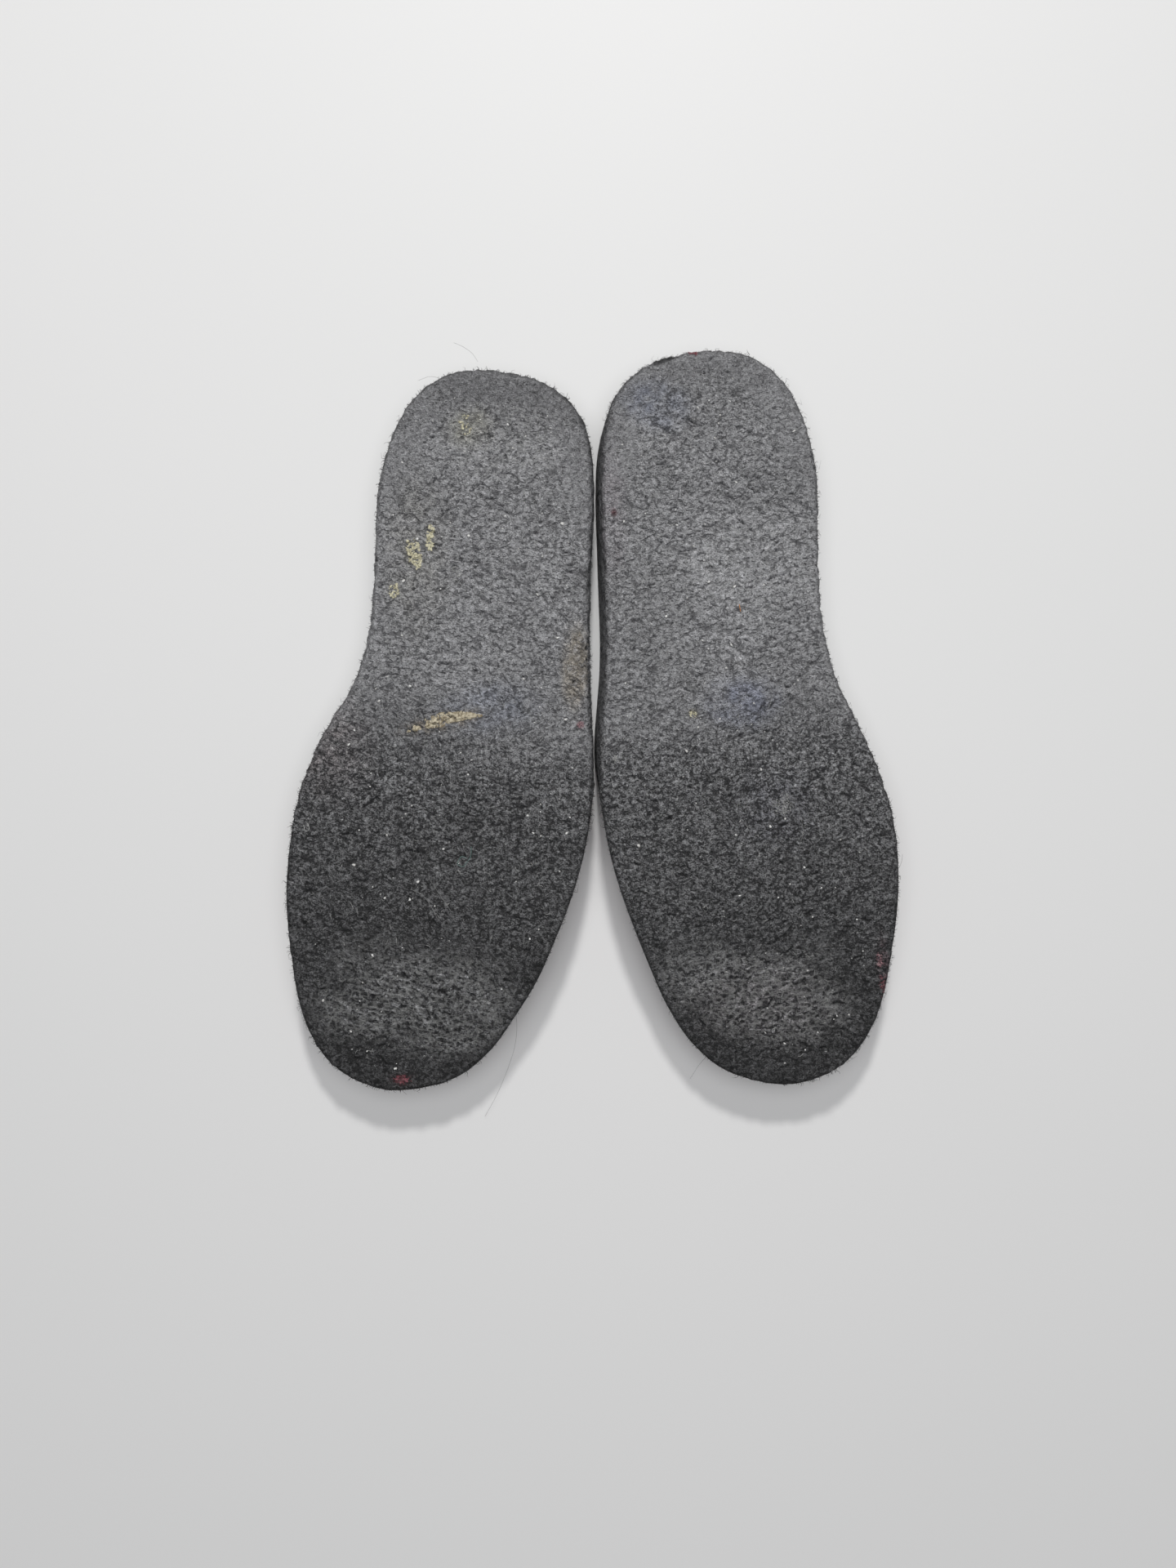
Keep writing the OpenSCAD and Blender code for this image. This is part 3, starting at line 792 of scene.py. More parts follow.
# ---------------------------------------------------------------- materials of the real pieces
def felt_material():
    m, t, b = new_material("charcoal_felt")
    rest = attribute(t, "rest").outputs["Vector"]
    tint = attribute(t, "tint").outputs["Color"]
    fleck = attribute(t, "fleck").outputs["Fac"]
    slit = attribute(t, "slit").outputs["Fac"]
    calm = attribute(t, "calm").outputs["Fac"]
    ball = attribute(t, "ball").outputs["Fac"]
    warp = noise(t, rest, 0.6, 3, 0.6)
    shifted = t.nodes.new("ShaderNodeVectorMath")
    shifted.operation = "MULTIPLY_ADD"
    link(t, warp.outputs["Color"], shifted.inputs[0])
    shifted.inputs[1].default_value = (1.7, 1.7, 1.7)
    link(t, rest, shifted.inputs[2])
    at = shifted.outputs[0]

    def crease(scale, stretch, turn, thin, wide, broken_scale, lo, hi):
        """Broken lines along the borders of stretched cells: masks for the painted crease shade."""
        v = t.nodes.new("ShaderNodeTexVoronoi")
        v.feature = "DISTANCE_TO_EDGE"
        v.inputs["Scale"].default_value = scale
        link(t, stretched(t, at, stretch, turn), v.inputs["Vector"])
        line = ramp(t, v.outputs["Distance"], thin, wide, 1.0, 0.0)
        gap = ramp(t, noise(t, rest, broken_scale, 2, 0.55).outputs["Fac"], lo, hi)
        return math_node(t, "MULTIPLY", line, gap)

    # fibres lying in three directions, clumps and single grains
    fib_a = noise(t, stretched(t, at, (0.9, 3.4, 1), 14), 1.0, 3, 0.65).outputs["Fac"]
    fib_b = noise(t, stretched(t, at, (3.0, 1.0, 1), -28), 1.0, 3, 0.65).outputs["Fac"]
    fib_c = noise(t, stretched(t, at, (1.1, 3.0, 1), 62), 1.1, 2, 0.6).outputs["Fac"]
    grain = noise(t, rest, 2.1, 2, 0.6).outputs["Fac"]
    clot = noise(t, at, 0.85, 3, 0.6).outputs["Fac"]
    cell = t.nodes.new("ShaderNodeTexVoronoi")
    cell.inputs["Scale"].default_value = 1.0
    link(t, stretched(t, at, (0.85, 1.3, 0.01), 12), cell.inputs["Vector"])
    split = t.nodes.new("ShaderNodeSeparateColor")
    link(t, cell.outputs["Color"], split.inputs[0])
    lay = math_node(t, "MULTIPLY", math_node(t, "ADD", math_node(t, "ADD", fib_a, fib_b), fib_c), 0.3333)
    value = math_node(t, "ADD", math_node(t, "MULTIPLY", math_node(t, "SUBTRACT", lay, 0.5), 4.2),
                      math_node(t, "MULTIPLY", math_node(t, "SUBTRACT", grain, 0.5), 1.9))
    value = math_node(t, "ADD", value, math_node(t, "MULTIPLY", math_node(t, "SUBTRACT", clot, 0.5), 2.3))
    value = math_node(t, "ADD", value, math_node(t, "MULTIPLY", math_node(t, "SUBTRACT", split.outputs[0], 0.5), 0.5))
    value = math_node(t, "MULTIPLY", value, math_node(t, "MULTIPLY_ADD", ball, 1.75, 1.10))
    gain = math_node(t, "MAXIMUM", math_node(t, "ADD", value, 1.16), 0.14)
    colour = mix_colour(t, 1.0, tint, gain, "MULTIPLY")
    # painted shade: slits and creases between clumps are darkened to near black, as shade in the grooves
    long_slit = crease(0.34, (0.62, 1.25, 0.01), 8, 0.03, 0.125, 0.34, 0.47, 0.57)
    short_slit = crease(0.72, (0.75, 1.25, 0.01), -14, 0.03, 0.15, 0.6, 0.49, 0.60)
    made = math_node(t, "MAXIMUM", long_slit, math_node(t, "MULTIPLY", short_slit, 0.8))
    made = math_node(t, "MULTIPLY", made, ramp(t, calm, 0.0, 1.0, 1.0, 0.25))
    dark = math_node(t, "MAXIMUM", math_node(t, "MULTIPLY", ramp(t, slit, 0.22, 0.85), math_node(t, "MULTIPLY_ADD", ball, 0.20, 0.70)),
                     math_node(t, "MULTIPLY", made, math_node(t, "MULTIPLY_ADD", ball, 0.22, 0.66)))
    colour = mix_colour(t, dark, colour, mix_colour(t, 1.0, tint, (0.10, 0.10, 0.11), "MULTIPLY"))
    # worn places: a net of pale ridges round dark cells
    net = t.nodes.new("ShaderNodeTexVoronoi")
    net.feature = "DISTANCE_TO_EDGE"
    net.inputs["Scale"].default_value = 0.50
    link(t, stretched(t, at, (0.8, 1.15, 0.01), 22), net.inputs["Vector"])
    ridge = ramp(t, net.outputs["Distance"], 0.05, 0.22, 1.0, 0.0)
    ridge = math_node(t, "MULTIPLY", ridge, ramp(t, noise(t, rest, 0.4, 3, 0.6).outputs["Fac"], 0.36, 0.52))
    thread = ramp(t, math_node(t, "ADD", fib_a, fib_b), 0.82, 1.14)
    worn = math_node(t, "MULTIPLY", math_node(t, "MULTIPLY", ridge, fleck), math_node(t, "MULTIPLY_ADD", thread, 0.5, 0.5))
    colour = mix_colour(t, math_node(t, "MULTIPLY", worn, 0.95, clamp=True), colour,
                        mix_colour(t, 1.0, tint, (0.32, 0.32, 0.312), "ADD"))
    # tiny single light fibres
    spark = ramp(t, noise(t, stretched(t, at, (0.55, 3.6, 1), 38), 1.0, 2, 0.5).outputs["Fac"], 0.66, 0.74)
    spark2 = ramp(t, noise(t, stretched(t, at, (3.6, 0.6, 1), -12), 1.0, 2, 0.5).outputs["Fac"], 0.66, 0.74)
    spark = math_node(t, "MULTIPLY", math_node(t, "MAXIMUM", spark, spark2), 0.5)
    colour = mix_colour(t, spark, colour, mix_colour(t, 1.0, tint, (0.13, 0.13, 0.128), "ADD"))
    link(t, colour, b.inputs["Base Color"])
    b.inputs["Roughness"].default_value = 0.95
    b.inputs["Specular IOR Level"].default_value = 0.12
    b.inputs["Sheen Weight"].default_value = 0.08
    b.inputs["Sheen Roughness"].default_value = 0.6
    bump = t.nodes.new("ShaderNodeBump")
    bump.inputs["Strength"].default_value = 1.0
    bump.inputs["Distance"].default_value = 0.00042
    raised = math_node(t, "ADD", value, math_node(t, "MULTIPLY", made, -1.5))
    raised = math_node(t, "ADD", raised, math_node(t, "MULTIPLY", worn, 0.5))
    link(t, raised, bump.inputs["Height"])
    link(t, bump.outputs[0], b.inputs["Normal"])
    return m


def foam_material():
    m, t, b = new_material("dark_foam")
    rest = attribute(t, "rest").outputs["Vector"]
    vor = t.nodes.new("ShaderNodeTexVoronoi")
    vor.inputs["Scale"].default_value = 2.4
    link(t, rest, vor.inputs["Vector"])
    pore = ramp(t, vor.outputs["Distance"], 0.1, 0.42)
    cloud = noise(t, rest, 0.25, 3, 0.55).outputs["Fac"]
    colour = mix_colour(t, pore, (0.006, 0.006, 0.007), mix_colour(t, cloud, (0.020, 0.020, 0.022), (0.040, 0.040, 0.043)))
    link(t, colour, b.inputs["Base Color"])
    b.inputs["Roughness"].default_value = 0.85
    b.inputs["Specular IOR Level"].default_value = 0.2
    bump = t.nodes.new("ShaderNodeBump")
    bump.inputs["Strength"].default_value = 0.6
    bump.inputs["Distance"].default_value = 0.0002
    link(t, pore, bump.inputs["Height"])
    link(t, bump.outputs[0], b.inputs["Normal"])
    return m


def fleece_material():
    m, t, b = new_material("maroon_fleece")
    rest = attribute(t, "rest").outputs["Vector"]
    pile = attribute(t, "pile").outputs["Fac"]
    curl = noise(t, rest, 1.3, 4, 0.65, 1.2).outputs["Fac"]
    cloud = noise(t, rest, 0.07, 3, 0.5).outputs["Fac"]
    colour = mix_colour(t, ramp(t, curl, 0.3, 0.7), (0.055, 0.012, 0.020), (0.26, 0.075, 0.105))
    colour = mix_colour(t, ramp(t, pile, 0.55, 1.0, 0.0, 0.35), colour, (0.42, 0.20, 0.23))
    colour = mix_colour(t, ramp(t, cloud, 0.45, 0.7, 0.0, 0.45), colour, (0.12, 0.055, 0.065))
    link(t, colour, b.inputs["Base Color"])
    b.inputs["Roughness"].default_value = 0.95
    b.inputs["Specular IOR Level"].default_value = 0.1
    b.inputs["Sheen Weight"].default_value = 0.45
    b.inputs["Sheen Roughness"].default_value = 0.5
    b.inputs["Sheen Tint"].default_value = (0.9, 0.7, 0.72, 1)
    bump = t.nodes.new("ShaderNodeBump")
    bump.inputs["Strength"].default_value = 0.8
    bump.inputs["Distance"].default_value = 0.0004
    link(t, curl, bump.inputs["Height"])
    link(t, bump.outputs[0], b.inputs["Normal"])
    return m


def gel_material():
    m, t, b = new_material("pad_foam")
    rest = t.nodes.new("ShaderNodeTexCoord").outputs["Object"]
    vor = t.nodes.new("ShaderNodeTexVoronoi")
    vor.inputs["Scale"].default_value = 1500
    link(t, rest, vor.inputs["Vector"])
    pore = ramp(t, vor.outputs["Distance"], 0.05, 0.5)
    cloud = noise(t, rest, 120, 3, 0.5).outputs["Fac"]
    colour = mix_colour(t, pore, (0.20, 0.22, 0.25), mix_colour(t, cloud, (0.34, 0.37, 0.41), (0.44, 0.46, 0.49)))
    link(t, colour, b.inputs["Base Color"])
    b.inputs["Roughness"].default_value = 0.6
    b.inputs["Specular IOR Level"].default_value = 0.35
    bump = t.nodes.new("ShaderNodeBump")
    bump.inputs["Strength"].default_value = 0.4
    bump.inputs["Distance"].default_value = 0.00015
    link(t, pore, bump.inputs["Height"])
    link(t, bump.outputs[0], b.inputs["Normal"])
    return m


def shank_material():
    m, t, b = new_material("arch_plastic")
    rest = t.nodes.new("ShaderNodeTexCoord").outputs["Object"]
    grain = noise(t, rest, 1800, 2, 0.5).outputs["Fac"]
    cloud = noise(t, rest, 60, 3, 0.5).outputs["Fac"]
    link(t, mix_colour(t, cloud, (0.060, 0.062, 0.068), (0.095, 0.098, 0.106)), b.inputs["Base Color"])
    link(t, ramp(t, grain, 0.3, 0.7, 0.42, 0.6), b.inputs["Roughness"])
    bump = t.nodes.new("ShaderNodeBump")
    bump.inputs["Strength"].default_value = 0.35
    bump.inputs["Distance"].default_value = 0.0001
    link(t, grain, bump.inputs["Height"])
    link(t, bump.outputs[0], b.inputs["Normal"])
    return m


def fibre_material(name, dark, light, sheen=0.2):
    m, t, b = new_material(name)
    pos = t.nodes.new("ShaderNodeTexCoord").outputs["Object"]
    n = noise(t, pos, 700, 2, 0.6).outputs["Fac"]
    link(t, mix_colour(t, ramp(t, n, 0.35, 0.65), dark, light), b.inputs["Base Color"])
    b.inputs["Roughness"].default_value = 0.8
    b.inputs["Specular IOR Level"].default_value = 0.2
    b.inputs["Sheen Weight"].default_value = sheen
    return m


def crust_material(name, dark, light):
    m, t, b = new_material(name)
    pos = t.nodes.new("ShaderNodeTexCoord").outputs["Object"]
    n = noise(t, pos, 900, 4, 0.7).outputs["Fac"]
    link(t, mix_colour(t, ramp(t, n, 0.36, 0.64), dark, light), b.inputs["Base Color"])
    b.inputs["Roughness"].default_value = 0.9
    b.inputs["Specular IOR Level"].default_value = 0.2
    bump = t.nodes.new("ShaderNodeBump")
    bump.inputs["Strength"].default_value = 0.8
    bump.inputs["Distance"].default_value = 0.0002
    link(t, n, bump.inputs["Height"])
    link(t, bump.outputs[0], b.inputs["Normal"])
    return m


FELT = felt_material()
FOAM = foam_material()
FLEECE = fleece_material()
GEL = gel_material()
SHANK = shank_material()
GREY_FIBRE = fibre_material("felt_fibre", (0.030, 0.030, 0.032), (0.20, 0.20, 0.205))
DARK_FIBRE = fibre_material("dark_fibre", (0.012, 0.012, 0.013), (0.06, 0.06, 0.062))
WHITE_FIBRE = fibre_material("lint_white", (0.50, 0.50, 0.49), (0.80, 0.80, 0.78))
RED_FIBRE = fibre_material("fluff_red", (0.20, 0.018, 0.03), (0.62, 0.22, 0.26))
PINK_FIBRE = fibre_material("fluff_pink", (0.50, 0.22, 0.26), (0.80, 0.52, 0.55))
GREEN_FIBRE = fibre_material("thread_green", (0.10, 0.22, 0.20), (0.28, 0.42, 0.38))
ORANGE_FIBRE = fibre_material("thread_orange", (0.62, 0.24, 0.08), (0.80, 0.42, 0.20))
HAIR = fibre_material("hair", (0.03, 0.025, 0.022), (0.10, 0.085, 0.07), 0.0)
TAN_CRUST = crust_material("tan_crust", (0.22, 0.18, 0.12), (0.60, 0.54, 0.41))
YELLOW_CRUST = crust_material("yellow_crust", (0.38, 0.35, 0.24), (0.70, 0.67, 0.50))
WHITE_CRUST = crust_material("white_speck", (0.55, 0.54, 0.52), (0.85, 0.85, 0.83))


# ---------------------------------------------------------------- flex line, and transforms baked into the meshes
def flex_of(f):
    """A point of the flex line and the level direction across it, in metres in the shared frame."""
    pts, side = loop(f, 2)
    k = 2 * FLEX_RIB
    ends = np.array([[pts[i, 0, 1], -pts[i, 0, 0], 0] for i in (len(pts) - k, k)])
    row = placed(f, ends)
    mid_point = row.mean(0)
    along = row[1] - row[0]
    along /= np.linalg.norm(along)
    across = np.array([along[1], -along[0], 0])
    if across[1] > 0:
        across = -across
    return mid_point, across


FLEX = [flex_of(f) for f in (RIGHT, LEFT)]


def bend(o):
    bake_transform(o)


def tubes(name, paths, radii, material, sides=3):
    """Thin closed tubes along paths (count, points, 3), in millimetres, as one mesh."""
    paths, radii = np.asarray(paths, float), np.asarray(radii, float)
    c, m, _ = paths.shape
    tan = np.gradient(paths, axis=1)
    tan /= np.maximum(np.linalg.norm(tan, axis=2), 1e-9)[..., None]
    up = np.zeros_like(tan)
    up[..., 2] = 1.0
    steep = np.abs(tan[..., 2]) > 0.9
    up[steep] = (1.0, 0, 0)
    a = np.cross(tan, up)
    a /= np.maximum(np.linalg.norm(a, axis=2), 1e-9)[..., None]
    b = np.cross(tan, a)
    ang = 2 * np.pi * np.arange(sides) / sides
    v = (paths[:, :, None, :] + radii[:, :, None, None] * (np.cos(ang)[None, None, :, None] * a[:, :, None, :]
                                                             + np.sin(ang)[None, None, :, None] * b[:, :, None, :]))
    i = np.arange(c)[:, None, None] * m * sides
    q = np.arange(m - 1)[None, :, None] * sides
    k = np.arange(sides)[None, None, :]
    k2 = (k + 1) % sides
    quads = np.stack([i + q + k, i + q + k2, i + q + sides + k2, i + q + sides + k], -1).reshape(-1, 4)
    first = (np.arange(c)[:, None] * m * sides + np.arange(sides)[None, ::-1]) + 0
    last = np.arange(c)[:, None] * m * sides + (m - 1) * sides + np.arange(sides)[None, :]
    o = make_mesh(name, v.reshape(-1, 3), [quads, first, last], material)
    return o


def crumbs(name, at, size, seed, material, flat=0.55):
    """Small uneven grains at the points given, as one mesh."""
    r = np.random.default_rng(seed)
    g = (1 + 5 ** 0.5) / 2
    base = np.array([[-1, g, 0], [1, g, 0], [-1, -g, 0], [1, -g, 0], [0, -1, g], [0, 1, g], [0, -1, -g], [0, 1, -g],
                     [g, 0, -1], [g, 0, 1], [-g, 0, -1], [-g, 0, 1]]) / math.sqrt(1 + g * g)
    tri = np.array([[0, 11, 5], [0, 5, 1], [0, 1, 7], [0, 7, 10], [0, 10, 11], [1, 5, 9], [5, 11, 4], [11, 10, 2],
                    [10, 7, 6], [7, 1, 8], [3, 9, 4], [3, 4, 2], [3, 2, 6], [3, 6, 8], [3, 8, 9], [4, 9, 5],
                    [2, 4, 11], [6, 2, 10], [8, 6, 7], [9, 8, 1]])
    # one split of every triangle, back onto the ball
    pts = [tuple(p) for p in base]
    seen, faces = {}, []

    def middle(a, b):
        key = (min(a, b), max(a, b))
        if key not in seen:
            p = (np.array(pts[a]) + np.array(pts[b])) / 2
            pts.append(tuple(p / np.linalg.norm(p)))
            seen[key] = len(pts) - 1
        return seen[key]

    for a, b, c in tri:
        ab, bc, ca = middle(a, b), middle(b, c), middle(c, a)
        faces += [[a, ab, ca], [b, bc, ab], [c, ca, bc], [ab, bc, ca]]
    ball, faces = np.array(pts), np.array(faces)
    n = len(at)
    stretch = np.stack([r.uniform(0.7, 1.6, n), r.uniform(0.6, 1.1, n), np.full(n, flat)], 1)
    rough = 1 + r.uniform(-0.28, 0.28, (n, len(ball)))
    p = ball[None] * stretch[:, None, :] * rough[..., None] * np.asarray(size)[:, None, None]
    a = r.uniform(0, 2 * np.pi, n)
    x = p[..., 0] * np.cos(a)[:, None] - p[..., 1] * np.sin(a)[:, None]
    y = p[..., 0] * np.sin(a)[:, None] + p[..., 1] * np.cos(a)[:, None]
    p = np.stack([x, y, p[..., 2]], -1) + np.asarray(at)[:, None, :]
    every = (faces[None] + (np.arange(n) * len(ball))[:, None, None]).reshape(-1, 3)
    return make_mesh(name, p.reshape(-1, 3), [every], material)


class Ground:
    """The felt's own surface, to lay things on."""

    def __init__(self, v, faces):
        self.tree = BVHTree.FromPolygons([Vector(p) for p in v], triangles_of(faces).tolist())

    def height(self, x, y):
        out = np.full(len(x), np.nan)
        for i, (a, b) in enumerate(zip(x, y)):
            hit = self.tree.ray_cast(Vector((a, b, 40)), Vector((0, 0, -1)))
            if hit[0] is not None:
                out[i] = hit[0].z
        return out


def laid_fibres(ground, centres, lengths, r, curl=0.5, lift=0.12, m=5):
    """Curved paths that follow the felt from above."""
    c = len(centres)
    a = r.uniform(0, 2 * np.pi, c)
    k = r.normal(0, curl, c)
    u = np.linspace(-0.5, 0.5, m)
    ang = a[:, None] + k[:, None] * u[None] * 3
    step = lengths[:, None] / (m - 1)
    x = centres[:, 0, None] + np.cumsum(np.cos(ang) * step, 1) - 0.5 * lengths[:, None] * np.cos(a)[:, None]
    y = centres[:, 1, None] + np.cumsum(np.sin(ang) * step, 1) - 0.5 * lengths[:, None] * np.sin(a)[:, None]
    z = ground.height(x.ravel(), y.ravel()).reshape(x.shape)
    good = np.isfinite(z).all(1) & ((np.nanmax(z, 1) - np.nanmin(z, 1)) < 2.5)
    z = z + lift * (0.35 + np.abs(np.sin(np.pi * (u[None] + 0.5))) * r.uniform(0.2, 1.8, (c, 1)))
    return np.stack([x, y, z], -1)[good]


def strand(ground, points, lift=0.15, m=24):
    """A smooth path through given points (x, y), laid on the felt or the table; a third number is a height."""
    p = np.array([q[:2] for q in points], float)
    d = np.concatenate([[0], np.cumsum(np.linalg.norm(np.diff(p, axis=0), axis=1))])
    u = np.linspace(0, d[-1], m)
    n = len(p)
    idx = np.clip(np.searchsorted(d, u, side="right") - 1, 0, n - 2)
    tt = ((u - d[idx]) / (d[idx + 1] - d[idx]))[:, None]
    a, b, c, e = p[np.maximum(idx - 1, 0)], p[idx], p[idx + 1], p[np.minimum(idx + 2, n - 1)]
    xy = 0.5 * (2 * b + (c - a) * tt + (2 * a - 5 * b + 4 * c - e) * tt ** 2 + (3 * b - a - 3 * c + e) * tt ** 3)
    if len(points[0]) == 3:
        z = np.interp(u, d, [q[2] for q in points])
    else:
        z = ground.height(xy[:, 0], xy[:, 1])
        z = np.where(np.isfinite(z), z, 0.0) + lift
    return np.column_stack([xy, z])


# Marks, in the shared frame in millimetres
HAIRS = {
    RIGHT: [[(-39.5, 123.5, 18), (-41.5, 126.0, 19.5), (-44.5, 127.8, 20.5), (-47.4, 128.9, 21.0)],
            [(-52.5, 117.6, 18.5), (-56.0, 118.0, 19), (-60.0, 116.6, 19.0)],
            [(-26.8, -100.5, 15.0), (-26.4, -108.0, 12.0), (-28.2, -118.0, 7.0), (-33.5, -132.0, 2.2), (-38.5, -141.5, 0.9)],
            [(-71.0, -124.8, 10), (-70.2, -128.4, 5), (-66.6, -133.6, 1.0)],
            [(-56.0, -126.4, 11), (-52.5, -127.6, 9), (-49.4, -125.9, 10.5)]],
    LEFT: [[(42.0, -115.5, 12.5), (38.0, -121.0, 8), (35.0, -128.0, 1.2)],
           [(9.5, -46.0, 19), (6.5, -41.5, 20.5), (5.5, -37.5, 21.0)],
           [(104.4, -53.0, 17.5), (106.8, -50.0, 16.0), (107.6, -46.5, 15.5)]],
}
PALE_HAIRS = {
    RIGHT: [[(-56, -54), (-52, -60), (-48, -66)], [(-94, -29), (-97, -36), (-97.5, -37.5)],
            [(-62, -58), (-57, -61), (-53, -68)], [(-12, 44), (-10.5, 47), (-9.5, 50)]],
    LEFT: [[(3.2, -51), (6, -46), (8, -44)], [(60, 13), (61.5, 8), (60, 3)], [(47, 34), (49, 31), (48.5, 27)],
           [(8, -46.8), (13, -47.4), (18, -49.8)], [(70, -30), (72, -38), (70, -45)]],
}


# ---------------------------------------------------------------- pads, from their CAD outlines
def hull_of(circles, grow=0.0, count=40):
    p = np.concatenate([[(x + (r + grow) * math.cos(a), y + (r + grow) * math.sin(a))
                         for a in np.linspace(0, 2 * math.pi, count, endpoint=False)] for x, y, r in circles])
    p = p[np.lexsort((p[:, 1], p[:, 0]))]

    def half(q):
        out = []
        for a in q:
            while len(out) > 1 and np.cross(out[-1] - out[-2], a - out[-2]) <= 0:
                out.pop()
            out.append(a)
        return out[:-1]

    return np.array(half(p) + half(p[::-1]))


def even_ring(ring, count):
    d = np.concatenate([[0], np.cumsum(np.linalg.norm(np.diff(np.vstack([ring, ring[:1]]), axis=0), axis=1))])
    u = np.linspace(0, d[-1], count, endpoint=False)
    r = np.vstack([ring, ring[:1]])
    return np.stack([np.interp(u, d, r[:, i]) for i in (0, 1)], 1)


def ring_distance(ring, p):
    """Distance inside (positive) or outside (negative) a ring."""
    d = np.full(len(p), 1e9)
    for q in even_ring(ring, 220):
        d = np.minimum(d, np.hypot(p[:, 0] - q[0], p[:, 1] - q[1]))
    return np.where(inside_ring(ring, p), d, -d)


HEEL_PAD = [(0.5, -40, 18.5), (-1, -58, 16)]
MET_PAD = [(-1, -146, 18), (-3, -118, 9)]
ARCH = [(10, -72, 8), (-6, -80, 8), (13, -104, 12), (18, -136, 11)]


def pad(f, name, circles, thick_mm, body, crown):
    """A crowned soft pad whose flat face lies against the cover, with a rounded edge and a domed face in the foam."""
    ring = even_ring(hull_of(circles), 150)
    centre = ring.mean(0)
    inner, tri = fill_ring(centre + (ring - centre) * 0.90, 1.4, 7)
    shrink = [1.0 - 0.35 / 18, 1.0, 1.0, 0.985, 0.955, 0.90]
    high = [0.0, 0.22, 0.55, 0.80, 0.93, 1.0]
    n = len(ring)
    rows_top = [centre + (ring - centre) * k for k in shrink]
    d_in = ring_distance(ring, inner)
    base = lambda y: level_height(f, 2, 0, y) + GLUE / 2
    top_t = thick_mm * (1 - crown)
    v = []
    for k, h in zip(rows_top, high):
        z = base(k[:, 1]) + top_t * h
        v.append(np.column_stack([k, z]))
    dome = smooth(d_in, 0, 14) * crown * thick_mm
    dimple = 0.05 * layered(inner[:, 0], inner[:, 1], 2.2, 9, 2)
    zi = base(inner[:, 1]) + top_t + dome * 0.98 + dimple - 0.06
    v.append(np.column_stack([inner, zi]))
    up_tri = np.where(tri < n, tri + 5 * n, tri - n + 6 * n)
    k = 6 * n + len(inner)
    low_ring = centre + (ring - centre) * shrink[0]
    low_in, low_tri = fill_ring(low_ring, 3.0, 8)
    v.append(np.column_stack([low_in, base(low_in[:, 1])]))
    low_tri = np.where(low_tri < n, low_tri, low_tri - n + k)
    v = placed(f, np.concatenate(v))
    rings = ring_faces(6, n)
    up, low = facing(v, up_tri, 1), facing(v, low_tri, -1)
    top_ring = rings[4 * n:]
    rings = rings if (facing(v, top_ring, 1) == top_ring).all() else rings[:, ::-1]
    o = make_mesh(name, v, [rings, up, low], GEL)
    return o


# ---------------------------------------------------------------- building each insole
SUBS = [6, 6, 4, 4, 5]

